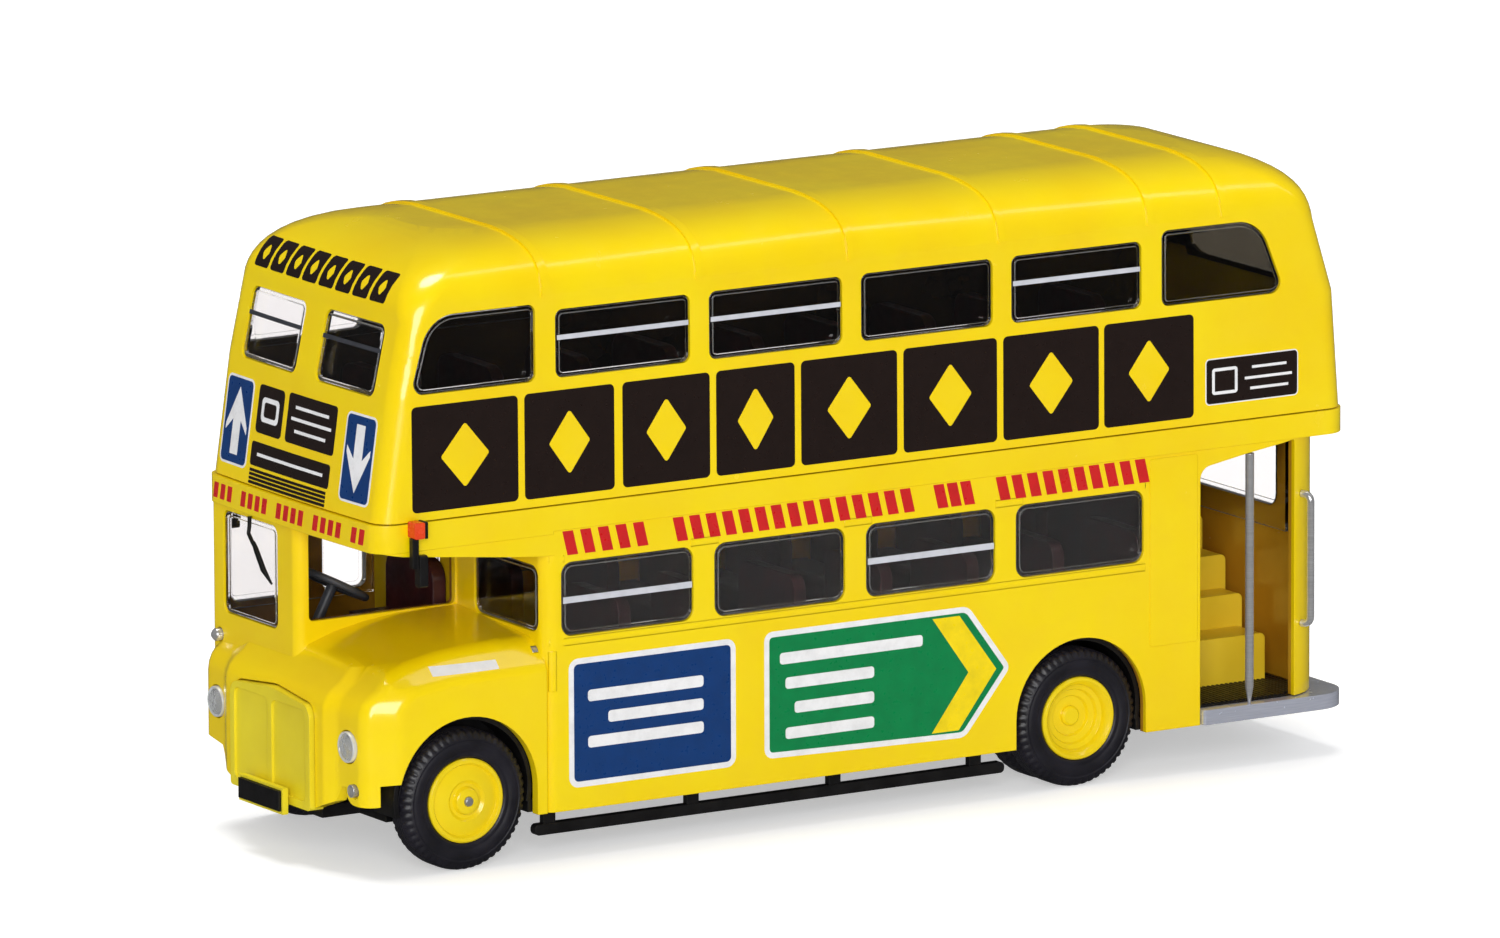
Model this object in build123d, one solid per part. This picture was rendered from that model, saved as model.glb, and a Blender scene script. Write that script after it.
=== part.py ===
"""Die-cast scale model of a half-cab double decker bus with an open rear platform, at 1:76.

Millimetres. +X is forwards, +Y is the nearside (the platform side), +Z is up.
The origin is on the floor, under the middle of the model's overall length and width.
Two painted castings, one for each deck, hold clear glazing and one-piece seat mouldings.
A black base moulding closes the bottom and carries two steel axles with their wheels.
"""
import os
from math import asin, cos, radians, sin

from build123d import *

# ---- plan ----------------------------------------------------------------------------
WHEELBASE = 67.5
FRONT_OVERHANG = 13.25      # front axle to the face of the number plate
REAR_OVERHANG = 30.75       # rear axle to the edge of the rear platform
HALF_WIDTH = 16.05          # centre line to the side of the lower casting
FRONT_AXLE_X = (WHEELBASE + REAR_OVERHANG - FRONT_OVERHANG) / 2
REAR_AXLE_X = FRONT_AXLE_X - WHEELBASE
FRONT_X = FRONT_AXLE_X + FRONT_OVERHANG
REAR_X = REAR_AXLE_X - REAR_OVERHANG
BULKHEAD_X = FRONT_AXLE_X - 8.3         # front face of the saloon bulkhead
CAB_FRONT_X = FRONT_AXLE_X + 9.0        # face of the windscreen panel
BAND_FRONT_X = FRONT_AXLE_X + 9.5       # front of the band between decks
NOSE_X = FRONT_AXLE_X + 11.5            # face of the front round the radiator
PARTITION_X = REAR_AXLE_X - 13.0        # wall between saloon and platform
LOWER_REAR_X = REAR_X + 1.8             # rear panel below the band
BAND_REAR_X = REAR_X + 0.2              # rear of the band between decks
CAB_INNER_Y = 0.1                       # nearside face of the cab

# ---- thickness and clearance ---------------------------------------------------------
WALL = 1.0                  # both castings
SHEET = 0.5                 # clear mouldings behind the windows
PANE_INSET = 0.2            # outer face of a pane behind the painted surface
FIT = 0.1                   # gap between pieces that are assembled together
GRILLE_GAP = 0.16           # gap round the radiator grille
SEAM = 0.12                 # open seam between the two castings
RUNNING = 0.06              # radial clearance of an axle in its bearing
INNER_Y = HALF_WIDTH - WALL             # inside of the castings' side walls
GLASS_Y = INNER_Y - FIT                 # outer face of the clear mouldings
ROOM_Y = GLASS_Y - SHEET - FIT          # half the width left for floors and seats

# ---- wheels --------------------------------------------------------------------------
TYRE_R = 6.64
TYRE_W = 3.3
RIM_R = 4.0
TWIN_GAP = 0.6
WHEEL_FACE_Y = HALF_WIDTH - 0.45        # outer face of every tyre
AXLE_R = 0.75
AXLE_TIP_R = 0.45
ARCH_LIFT = 0.56                        # arch centre above the axle
ARCH_Z = TYRE_R + ARCH_LIFT
ARCH_R = {"front": TYRE_R + 0.81, "rear": TYRE_R + 0.66}
AXLE_X = {"front": FRONT_AXLE_X, "rear": REAR_AXLE_X}
WHEEL_DEPTH = {"front": TYRE_W, "rear": 2 * TYRE_W + TWIN_GAP}

# ---- heights -------------------------------------------------------------------------
SKIRT_Z = 4.5               # bottom edge of the lower casting
KEEL_Z = 3.3                # flat underside of the base between the wheels
BASE_THICK = 1.2
FLOOR_THICK = 0.6
FLOOR_Z = ARCH_Z + max(ARCH_R.values()) + 0.15 + FLOOR_THICK    # lower saloon floor
SPLIT_Z = 33.55             # joint between the two castings
BAND_Z = SPLIT_Z - 2.35     # underside of the band between decks
CANOPY_Z = SPLIT_Z - 2.65   # underside of the canopy over cab and bonnet
DECK_Z = SPLIT_Z + 1.05     # upper deck floor
UPPER_HEIGHT = 25.1
ROOF_Z = SPLIT_Z + UPPER_HEIGHT         # top of the roof between its ribs
PLATFORM_Z = 6.1            # top of the rear platform
EDGE_Z = 6.0                # top of the metal edge round the platform
EDGE_DEPTH = 1.45
MAT_THICK = 0.9
TRAY_THICK = 0.75           # part of the base under the mat

# ---- upper casting -------------------------------------------------------------------
# Wall sections: height over the split, narrower than the half width by, front ahead of
# the front axle by, rear behind the rear axle by, corner radius.
WALL_SECTIONS = [
    (SEAM, 0.05, 9.15, 30.15, 2.1),
    (11.45, 0.10, 7.5, 29.35, 2.1),
    (18.45, 0.15, 5.95, 27.2, 2.1),
]
FRONT_BOW = 0.4                         # how far the front bows out at the centre line
ROOF_RUN = {"front": 11.5, "rear": 9.9}     # length over which each end curves down
ROOF_SIDE_POWER = 3.5                   # squareness of the roof's curve across the bus
ROOF_END_POWER = {"front": 2.1, "rear": 2.3}    # squareness of its curve at each end
ROOF_STEPS = 12                         # sections of the roof
ROOF_TOP_SHARE = 0.985                  # share of the rise at which its flat middle begins
ROOF_CORNER_GROWTH = 2.5                # corner radius gained from the windows to the top
INNER_CORNER_SHARE = 0.6                # corner radius lost inside, as a share of the wall
RIB_RISE = 0.2
RIB_HALF = 0.45
RIB_FOOT_Z = SPLIT_Z + 19.85            # where the ribs end above the windows

# ---- lower casting -------------------------------------------------------------------
BAND_PROUD = 0.1                        # band stands out from the side by
BAND_CORNER = {"front": 2.2, "rear": 2.6}
LOWER_REAR_CORNER = 6.5
SALOON_CORNER = 1.4
CAB_CORNER = 1.0
# The canopy's nearside hangs lower than its front: x and height of its lower edge.
VALANCE = [
    (BULKHEAD_X - SALOON_CORNER, SPLIT_Z - 4.65), (BULKHEAD_X, SPLIT_Z - 4.65),
    (FRONT_AXLE_X - 5.0, SPLIT_Z - 4.35), (FRONT_AXLE_X + 1.3, SPLIT_Z - 3.65),
    (FRONT_AXLE_X + 6.8, SPLIT_Z - 3.05), (CAB_FRONT_X, CANOPY_Z),
]
# Bonnet and wings across the bus, from the side to the middle: in from the side, height at
# the bulkhead, height at the nose, radius.
BONNET_SECTION = [(0.0, 18.4, 16.2, 1.5), (2.4, 20.9, 17.2, 3.0), (HALF_WIDTH, 21.7, 17.6, 14.0)]
BONNET_STEPS = 7
BONNET_POWER = 3.0                      # how late the bonnet dips
BONNET_OVERLAP = {"rear": 0.2, "front": 0.6}    # it runs past the bulkhead and the nose by
# Nose in plan, from the side to the centre: behind the nose by, distance from the side, radius.
NOSE_PLAN = [(4.2, 0.0, 2.4), (1.0, 1.5, 1.6), (0.75, 5.6, 2.0), (0.0, 7.1, 1.2)]
# The front leans back towards its top: height, lean.
NOSE_LEAN = [
    (SKIRT_Z, 0.0), (15.0, 0.0), (15.8, 0.12), (16.5, 0.42), (17.1, 0.9), (17.8, 1.9), (23.0, 7.0),
]
WING_EDGE = [(7.0, 5.6), (10.2, 6.9), (11.0, 8.4), (17.0, 9.2)]     # lower edge of the front wings: y, height
WING_EDGE_BACK = 5.0                    # that edge starts behind the nose by

# ---- windows -------------------------------------------------------------------------
PILLAR = {"lower": 2.28, "upper": 2.06}
# Rows of equal windows: front end, rear end, bottom, top, corner radius.
ROWS = {
    "lower": (BULKHEAD_X - 1.8, PARTITION_X + 5.95, SPLIT_Z - 12.5, SPLIT_Z - 5.45, 1.2),
    "upper": (BULKHEAD_X - 1.4, PARTITION_X + 6.15, SPLIT_Z + 12.0, SPLIT_Z + 18.45, 0.8),
}
ROW_COUNT = 4
QUARTER_SILL = SPLIT_Z + 11.9
QUARTER_TOP = SPLIT_Z + 19.2
# Quarter windows: x and z of each corner, radius.
FRONT_QUARTER = [
    (FRONT_AXLE_X - 7.55, QUARTER_SILL, 0.8), (FRONT_AXLE_X + 5.90, QUARTER_SILL, 1.1),
    (FRONT_AXLE_X + 3.85, QUARTER_TOP, 3.6), (FRONT_AXLE_X - 7.55, QUARTER_TOP, 0.8),
]
REAR_QUARTER = [
    (REAR_AXLE_X - 9.10, QUARTER_SILL, 0.8), (REAR_AXLE_X - 23.10, QUARTER_SILL, 1.1),
    (REAR_AXLE_X - 20.20, QUARTER_TOP, 3.8), (REAR_AXLE_X - 9.10, QUARTER_TOP, 0.8),
]
# Windows in the front, rear and cross walls: y from, y to, z from, z to, radius.
UPPER_FRONT = [
    (1.8, HALF_WIDTH - 3.85, SPLIT_Z + 11.35, SPLIT_Z + 18.05, 0.9),
    (3.85 - HALF_WIDTH, -1.8, SPLIT_Z + 11.35, SPLIT_Z + 18.05, 0.9),
]
UPPER_REAR = [(-8.0, 8.0, SPLIT_Z + 11.85, SPLIT_Z + 17.85, 1.6)]
WINDSCREEN = (2.55 - HALF_WIDTH, CAB_INNER_Y - 3.5, SPLIT_Z - 13.05, SPLIT_Z - 3.25, 0.9)
BULKHEAD_PANE = (3.3, HALF_WIDTH - 1.2, SPLIT_Z - 12.1, SPLIT_Z - 5.8, 1.1)
CAB_BACK_PANE = (3.55 - HALF_WIDTH, -3.0, SPLIT_Z - 11.85, SPLIT_Z - 5.95, 0.8)
PLATFORM_PANE = (8.15 - HALF_WIDTH, HALF_WIDTH - 8.4, SPLIT_Z - 10.85, SPLIT_Z - 3.65, 1.4)
# Windows in the two sides of the cab: x from, x to, z from, z to, radius.
CAB_SIDE = [
    (FRONT_AXLE_X - 0.2, CAB_FRONT_X - 2.3, SPLIT_Z - 12.65, SPLIT_Z - 3.65, 0.9),
    (BULKHEAD_X + 1.0, FRONT_AXLE_X - 2.5, SPLIT_Z - 12.65, SPLIT_Z - 3.65, 0.9),
]
CAB_NEARSIDE = (BULKHEAD_X + 0.2, CAB_FRONT_X - 1.3, SPLIT_Z - 11.8, SPLIT_Z - 3.3, 0.5)
SHEET_MARGIN = 0.5          # clear mouldings reach past their windows by
PLATFORM_SHEET_MARGIN = 2.0 # and the one behind the platform by

# ---- doorway and platform ------------------------------------------------------------
DOOR_FRONT_X = PARTITION_X - 0.45
DOOR_REAR_X = LOWER_REAR_X + 4.6
# Top of the doorway: behind its front edge, below the split, radius.
DOOR_TOP = [(0.0, -4.15, 1.3), (5.25, -3.25, 6.0), (10.9, -2.45, 0.3)]
PLATFORM_OFF_Y = 3.05 - HALF_WIDTH      # offside edge of the platform
EDGE_PROUD = 0.55                       # metal edge stands out from the side by
EDGE_THICK = 1.35
EDGE_CORNER = 3.8
EDGE_INNER_CORNER = 5.5
EDGE_REAR_X = LOWER_REAR_X + 0.2        # its inner edge behind the rear panel
POLE_R = 0.42
POLE_X = REAR_AXLE_X - 19.25
POLE_IN = 0.3                           # pole in from the side
POLE_TIP = 1.6                          # length of the pole's taper
STEP_RISERS = [(8.05, 10.7), (12.05, 13.9), (14.95, 17.2), (19.0, 20.4)]   # in from the side, top
STAIR_BACK = 2.8                        # stairs clear of the rear panel
STEP_ROUND = 0.6
HANDLE_Z = (13.0, 25.6)
HANDLE_R = 0.36
HANDLE_STAND = 1.0
HANDLE_BEND = 0.7
HANDLE_ANGLE = 27.0                     # round the rear corner from the side

# ---- base ----------------------------------------------------------------------------
KEEL = {"front": FRONT_AXLE_X - 12.5, "rear": REAR_AXLE_X + 11.0, "half": 4.5}
PLINTH_SCREWS_X = [FRONT_AXLE_X - 20.5, REAR_AXLE_X + 17.0]
SCREW_R = 1.1
SCREW_DEPTH = 5.2
BOSS_R = 2.6
BOSS_TOP = SCREW_DEPTH + KEEL_Z + 1.1
BEARING_HALF = 2.2                      # bearing block along the bus, from the axle
WHEEL_BOX = 0.45                        # wall of the boxes over the wheels
WHEEL_BOX_GAP = 0.7                     # space beside the inner face of a wheel
GUARD_IN = 2.05                         # rails in from the sides
GUARD_Z = (2.1, 3.15)
GUARD_X = (FRONT_AXLE_X - 8.1, REAR_AXLE_X + 7.65)
GUARD_POSTS = 4
GUARD_POST_END = 1.6                    # first post in from the rail's end
GUARD_HALF = 0.45

# ---- seats ---------------------------------------------------------------------------
SEAT_PITCH = 9.6
SEAT_GANGWAY = 3.9                      # half the gap between the seats of a row
CUSHION = (4.9, 3.2)                    # length, height
BACK_TOP = 8.2
BACK_THICK = 1.2
UPPER_SEATS_X = (FRONT_AXLE_X - 2.5, PARTITION_X + 1.0)
LOWER_SEATS_X = (BULKHEAD_X - 6.7, PARTITION_X + 6.0)

# ---- front fittings ------------------------------------------------------------------
GRILLE_HALF = 7.35
GRILLE_Z = {"bottom": 5.5, "side": 15.4, "peak": 16.1}
GRILLE_PROUD = 0.5
GRILLE_PANEL = 0.25                     # depth of its two panels
GRILLE_RIM = 0.75
GRILLE_BAR_HALF = 0.35                  # half width of the bar between the panels
PLATE = (3.75, 1.9, 0.5)                # half width, height, thickness
PLATE_Z = 5.0
PLATE_RIM = 0.3                         # holder round the plate
PLATE_RIM_DEPTH = 0.6                   # holder from front to back
# Lamps that face forwards, each in its own hole: x, y, z, radius, length.
LAMPS = {
    "headlamp_left": (NOSE_X - 1.2, HALF_WIDTH - 3.95, 12.35, 1.5, 1.5),
    "headlamp_right": (NOSE_X - 1.2, 3.95 - HALF_WIDTH, 12.35, 1.5, 1.5),
    "fog_lamp": (NOSE_X - 1.3, HALF_WIDTH - 2.9, 8.3, 0.62, 1.6),
    "side_lamp_left": (BULKHEAD_X + 0.1, HALF_WIDTH - 1.9, 19.5, 0.6, 0.9),
    "side_lamp_right": (CAB_FRONT_X + 0.1, 1.7 - HALF_WIDTH, 18.2, 0.6, 0.9),
}
FOG_LUG = {"r": 1.35, "length": 4.45, "depth": 1.2}     # tab of the wing round the fog lamp
INDICATOR = {"x": (FRONT_AXLE_X + 5.3, FRONT_AXLE_X + 6.4), "z": (SPLIT_Z - 1.25, SPLIT_Z + 0.3), "out": 1.3}
INDICATOR_ROUND = 0.2
MIRROR_ROUND = 0.3
MIRROR_HEAD = {
    "x": (FRONT_AXLE_X + 5.0, FRONT_AXLE_X + 5.85), "z": (SPLIT_Z - 5.85, SPLIT_Z - 2.85), "thick": 1.0,
}
MIRROR_ARM = {"x": (FRONT_AXLE_X + 5.75, FRONT_AXLE_X + 6.4), "low": SPLIT_Z - 4.05, "thick": 0.6}
MIRROR_OUT = 0.3                        # mirror and arm stand off the band by
SEAT_BASE = {
    "x": (BULKHEAD_X + 1.0, BULKHEAD_X + 5.6), "y": (5.75 - HALF_WIDTH, -1.6), "top": 4.4, "back": 10.1,
    "lean": (0.8, 0.6), "round": 2.0,
}
STEERING = {
    "x": FRONT_AXLE_X + 1.4, "y": -6.2, "z": FLOOR_Z + 8.2, "r": 3.3, "rim": 0.35, "spoke": 0.7,
    "tilt": -28.0, "column_r": 0.5,
}

# ---- rear fittings -------------------------------------------------------------------
REAR_PLATE = {"y": (-9.0, -3.0), "z": (16.5, 18.2), "thick": 0.5}
REAR_LAMP = {"y": 9.0, "z": 12.6, "r": 0.9}


# ---- helpers -------------------------------------------------------------------------
def block(x0, x1, y0, y1, z0, z1):
    """A box between two corners, given in either order."""
    size = Box(abs(x1 - x0), abs(y1 - y0), abs(z1 - z0))
    return Pos((x0 + x1) / 2, (y0 + y1) / 2, (z0 + z1) / 2) * size


def prism_y(sketch, y0, y1):
    """A sketch drawn in X and Z, extruded between y0 and y1."""
    low, high = sorted((y0, y1))
    return extrude(Plane.XZ.offset(-high) * sketch, amount=high - low)


def prism_x(sketch, x0, x1):
    """A sketch drawn in Y and Z, extruded from x0 to x1."""
    return extrude(Plane.YZ.offset(x0) * sketch, amount=x1 - x0)


def pane(a0, a1, b0, b1, r, grow=0.0):
    """A rounded rectangle between two corners, grown all round."""
    outline = RectangleRounded(a1 - a0 + 2 * grow, b1 - b0 + 2 * grow, r + grow)
    return Pos((a0 + a1) / 2, (b0 + b1) / 2) * outline


def rounded(corners, grow=0.0):
    """A polygon whose corners are x, y and radius, grown all round."""
    face = make_face(Polyline(*[(x, y) for x, y, _ in corners], close=True))
    for x, y, r in corners:
        if r:
            face = fillet(face.vertices().sort_by_distance((x, y, 0))[0], r)
    return offset(face, grow) if grow else face


def plan(half, x_front, x_rear, r_front, r_rear, bow=0.0):
    """The bus seen from above: straight sides and rear, rounded corners and a bowed front."""
    a, b, c, d = (x_front, -half), (x_front, half), (x_rear, half), (x_rear, -half)
    front = ThreePointArc(a, (x_front + bow, 0), b) if bow else Line(a, b)
    face = make_face([front, Line(b, c), Line(c, d), Line(d, a)])
    face = fillet(face.vertices().sort_by(Axis.X)[-2:], r_front)
    return fillet(face.vertices().sort_by(Axis.X)[:2], r_rear)


def rise(outline, z0, z1):
    """An outline in plan, extruded from z0 to z1."""
    return extrude(Pos(0, 0, z0) * outline, amount=z1 - z0)


def row_panes(name, grow=0.0):
    """Outlines of a row of equal windows, in X and Z."""
    front, rear, z0, z1, r = ROWS[name]
    pitch = (front - rear + PILLAR[name]) / ROW_COUNT
    width = pitch - PILLAR[name]
    return [pane(front - i * pitch - width, front - i * pitch, z0, z1, r, grow) for i in range(ROW_COUNT)]


def upper_side_panes(grow=0.0):
    """Outlines of the upper windows on one side, with the quarter windows."""
    return row_panes("upper", grow) + [rounded(FRONT_QUARTER, grow), rounded(REAR_QUARTER, grow)]


def panes(table, grow=0.0):
    """Outlines of a table of windows."""
    return [pane(*row, grow) for row in table]


# ---- forms of the castings -----------------------------------------------------------
def roof_fall(share, power):
    """How far the roof has come in at a share of its rise, as a share of its run."""
    return 1 - (1 - share ** power) ** (1 / power)


def upper_form(inset):
    """The upper casting as a closed form, taken in by inset on every side but the bottom."""
    sections = []
    for over_split, narrower, front, rear, r in WALL_SECTIONS:
        half = HALF_WIDTH - narrower - inset
        x_front, x_rear = FRONT_AXLE_X + front - inset, REAR_AXLE_X - rear + inset
        sections.append((SPLIT_Z + over_split, half, x_front, x_rear, r - inset * INNER_CORNER_SHARE))
    z0, half0, front0, rear0, r0 = sections[-1]
    top_angle = asin(ROOF_TOP_SHARE)
    for i in range(1, ROOF_STEPS + 1):
        share = sin(top_angle * i / ROOF_STEPS)
        half = half0 * (1 - roof_fall(share, ROOF_SIDE_POWER))
        x_front = front0 - ROOF_RUN["front"] * roof_fall(share, ROOF_END_POWER["front"])
        x_rear = rear0 + ROOF_RUN["rear"] * roof_fall(share, ROOF_END_POWER["rear"])
        z = z0 + (ROOF_Z - inset - z0) * share
        sections.append((z, half, x_front, x_rear, r0 + ROOF_CORNER_GROWTH * share))
    outlines = [Pos(0, 0, z) * plan(half, a, b, r, r, FRONT_BOW) for z, half, a, b, r in sections]
    return loft(outlines, ruled=True)


def nose_plan(inset, lean):
    """The front of the lower casting seen from above."""
    x, y = NOSE_X - inset - lean, HALF_WIDTH - inset
    corners = [(x - back, y - beside, r) for back, beside, r in NOSE_PLAN]
    left = [(BULKHEAD_X - 2 * WALL, y, 0)] + corners
    return rounded(left + [(x, -y, r) for x, y, r in reversed(left)])


def bonnet_form(inset):
    """Bonnet and front wings as a closed form between the bulkhead and the nose."""
    sections = []
    rear, front = BULKHEAD_X - BONNET_OVERLAP["rear"], NOSE_X + BONNET_OVERLAP["front"]
    for i in range(BONNET_STEPS):
        share = i / (BONNET_STEPS - 1)
        dip = share ** BONNET_POWER
        side = []
        for beside, high, low, r in BONNET_SECTION:
            side.append((max(HALF_WIDTH - beside - inset, 0), high - (high - low) * dip - inset, r))
        corners = [(side[0][0], 0, 0)] + side + [(-y, z, r) for y, z, r in reversed(side[:-1])]
        outline = rounded(corners + [(-side[0][0], 0, 0)])
        sections.append(Plane.YZ.offset(rear + (front - rear) * share) * outline)
    front_form = loft([Pos(0, 0, z) * nose_plan(inset, lean) for z, lean in NOSE_LEAN], ruled=True)
    return loft(sections, ruled=True) & front_form


def rear_room(gap):
    """Plan of the space inside the lower rear panel, gap clear of it."""
    corner = LOWER_REAR_CORNER - WALL
    return plan(INNER_Y - gap, 0, LOWER_REAR_X + WALL + gap, SALOON_CORNER, corner)


# ---- castings ------------------------------------------------------------------------
def rib_places():
    """The roof ribs stand over the pillars, with one more over the rear quarter window."""
    front, rear, *_ = ROWS["upper"]
    pitch = (front - rear + PILLAR["upper"]) / ROW_COUNT
    half = PILLAR["upper"] / 2
    return [front + half - i * pitch for i in range(ROW_COUNT + 1)] + [rear - half - pitch / 2]


def make_upper_body():
    body = upper_form(0) - upper_form(WALL)
    ribs = upper_form(-RIB_RISE) - upper_form(WALL / 2)
    reach = HALF_WIDTH + 4
    for x in rib_places():
        body += ribs & block(x - RIB_HALF, x + RIB_HALF, -reach, reach, RIB_FOOT_Z, ROOF_Z + 2)
    for outline in upper_side_panes():
        for side in (1, -1):
            body -= prism_y(outline, side * (HALF_WIDTH - 3), side * reach)
    for outline in panes(UPPER_FRONT):
        body -= prism_x(outline, FRONT_AXLE_X + 2, FRONT_X)
    for outline in panes(UPPER_REAR):
        body -= prism_x(outline, REAR_X, REAR_AXLE_X - 24)
    return body


def make_valance():
    """The deeper nearside of the canopy over the bonnet."""
    outline = make_face(Polyline(*VALANCE, (CAB_FRONT_X, SPLIT_Z), (VALANCE[0][0], SPLIT_Z), close=True))
    inside_band = plan(HALF_WIDTH, BAND_FRONT_X - FIT, REAR_X, BAND_CORNER["front"], FIT)
    return prism_y(outline, INNER_Y, HALF_WIDTH) & rise(inside_band, 0, SPLIT_Z)


def make_lower_body():
    band_half = HALF_WIDTH + BAND_PROUD
    front_r, rear_r = BAND_CORNER["front"], BAND_CORNER["rear"]
    body = rise(plan(band_half, BAND_FRONT_X, BAND_REAR_X, front_r, rear_r, FRONT_BOW), BAND_Z, SPLIT_Z)
    body += rise(plan(band_half, BAND_FRONT_X, BULKHEAD_X - WALL, front_r, FIT, FRONT_BOW), CANOPY_Z, SPLIT_Z)
    saloon = plan(HALF_WIDTH, BULKHEAD_X, LOWER_REAR_X, SALOON_CORNER, LOWER_REAR_CORNER)
    body += rise(saloon, SKIRT_Z, BAND_Z + WALL / 2)
    cab = block(BULKHEAD_X - 2 * WALL, CAB_FRONT_X, -HALF_WIDTH, CAB_INNER_Y, SKIRT_Z + 2, BAND_Z)
    body += fillet(cab.edges().filter_by(Axis.Z).sort_by(Axis.X)[-2:], CAB_CORNER)
    body += bonnet_form(0)

    inner_corner = LOWER_REAR_CORNER - WALL
    room = plan(INNER_Y, BULKHEAD_X - WALL, LOWER_REAR_X + WALL, SALOON_CORNER / 2, inner_corner)
    body -= rise(room, 0, SPLIT_Z + WALL)
    band_room = plan(INNER_Y, BAND_FRONT_X - WALL, BAND_REAR_X + WALL, front_r - WALL, rear_r - WALL)
    body -= rise(band_room, BAND_Z + WALL, SPLIT_Z + WALL)
    body -= block(BULKHEAD_X, CAB_FRONT_X - WALL, -INNER_Y, CAB_INNER_Y - WALL, SKIRT_Z, CANOPY_Z)
    under = FLOOR_Z - FLOOR_THICK - FIT
    hollow = bonnet_form(WALL) - block(0, FRONT_X, -HALF_WIDTH, CAB_INNER_Y, under, SPLIT_Z)
    body -= hollow & block(BULKHEAD_X, FRONT_X, -HALF_WIDTH, HALF_WIDTH, 0, SPLIT_Z)
    body -= block(BULKHEAD_X - WALL - SALOON_CORNER, NOSE_X - WING_EDGE_BACK, -INNER_Y, INNER_Y, 0, under)
    return cut_lower_openings(body + make_valance())


def cut_lower_openings(body):
    out = HALF_WIDTH + 2
    (last_y, last_z), first_y = WING_EDGE[-1], WING_EDGE[0][0]
    edge = WING_EDGE + [(last_y + HALF_WIDTH, last_z), (2 * HALF_WIDTH, 0), (first_y, 0)]
    for side in (1, -1):
        for outline in row_panes("lower"):
            body -= prism_y(outline, side * (INNER_Y - 1), side * out)
        for end, x in AXLE_X.items():
            r = ARCH_R[end]
            arch = Pos(x, ARCH_Z) * Circle(r) + Pos(x, ARCH_Z / 2) * Rectangle(2 * r, ARCH_Z)
            body -= prism_y(arch, side * (HALF_WIDTH - WHEEL_DEPTH[end] - 3), side * out)
        wing = make_face(Polyline(*[(side * y, z) for y, z in edge], close=True))
        body -= prism_x(wing, NOSE_X - WING_EDGE_BACK, FRONT_X) - make_fog_lug()
    for outline in panes(CAB_SIDE):
        body -= prism_y(outline, -out, -INNER_Y + 1)
    body -= prism_y(pane(*CAB_NEARSIDE), CAB_INNER_Y - 2 * WALL, CAB_INNER_Y + WALL)
    body -= prism_x(pane(*WINDSCREEN), CAB_FRONT_X - 2 * WALL, FRONT_X)
    for table in (BULKHEAD_PANE, CAB_BACK_PANE):
        body -= prism_x(pane(*table), BULKHEAD_X - 2 * WALL, BULKHEAD_X + WALL)
    body -= prism_x(pane(*PLATFORM_PANE), REAR_X, LOWER_REAR_X + 2 * WALL)
    body -= prism_x(grille_outline(GRILLE_GAP), NOSE_X - 3 * WALL, FRONT_X)
    mouth = GRILLE_HALF + GRILLE_GAP
    body -= block(NOSE_X - 3 * WALL, FRONT_X, -mouth, mouth, 0, GRILLE_Z["bottom"] + WALL)
    top = [(DOOR_FRONT_X - back, SPLIT_Z + below, r) for back, below, r in DOOR_TOP]
    door = [(DOOR_FRONT_X, 0, 0)] + top + [(top[-1][0], 0, 0)]
    body -= prism_y(rounded(door), HALF_WIDTH - 7, out)
    body -= block(REAR_X - WALL, DOOR_FRONT_X, PLATFORM_OFF_Y, out, 0, PLATFORM_Z)
    for x, y, z, r, length in LAMPS.values():
        body -= Pos(x, y, z) * Rot(0, 90, 0) * Cylinder(r + FIT, length)
    return body


def make_fog_lug():
    """The tab round the fog lamp, which stays when the wing's lower edge is cut."""
    x, y, z, *_ = LAMPS["fog_lamp"]
    length, height = FOG_LUG["length"], 2 * FOG_LUG["r"]
    outline = Pos(y + (length - height) / 2, z) * SlotOverall(length, height)
    return prism_x(outline, x - FOG_LUG["depth"], FRONT_X)


def grille_outline(grow=0.0):
    """The radiator grille from the front: upright sides and a low peak, in Y and Z."""
    half, bottom, side, peak = GRILLE_HALF, GRILLE_Z["bottom"], GRILLE_Z["side"], GRILLE_Z["peak"]
    left = [(-half, side, 1.4), (-half, bottom, 0.4)]
    return rounded([(half, bottom, 0.4), (half, side, 1.4), (0, peak, 6.0)] + left, grow)


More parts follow.
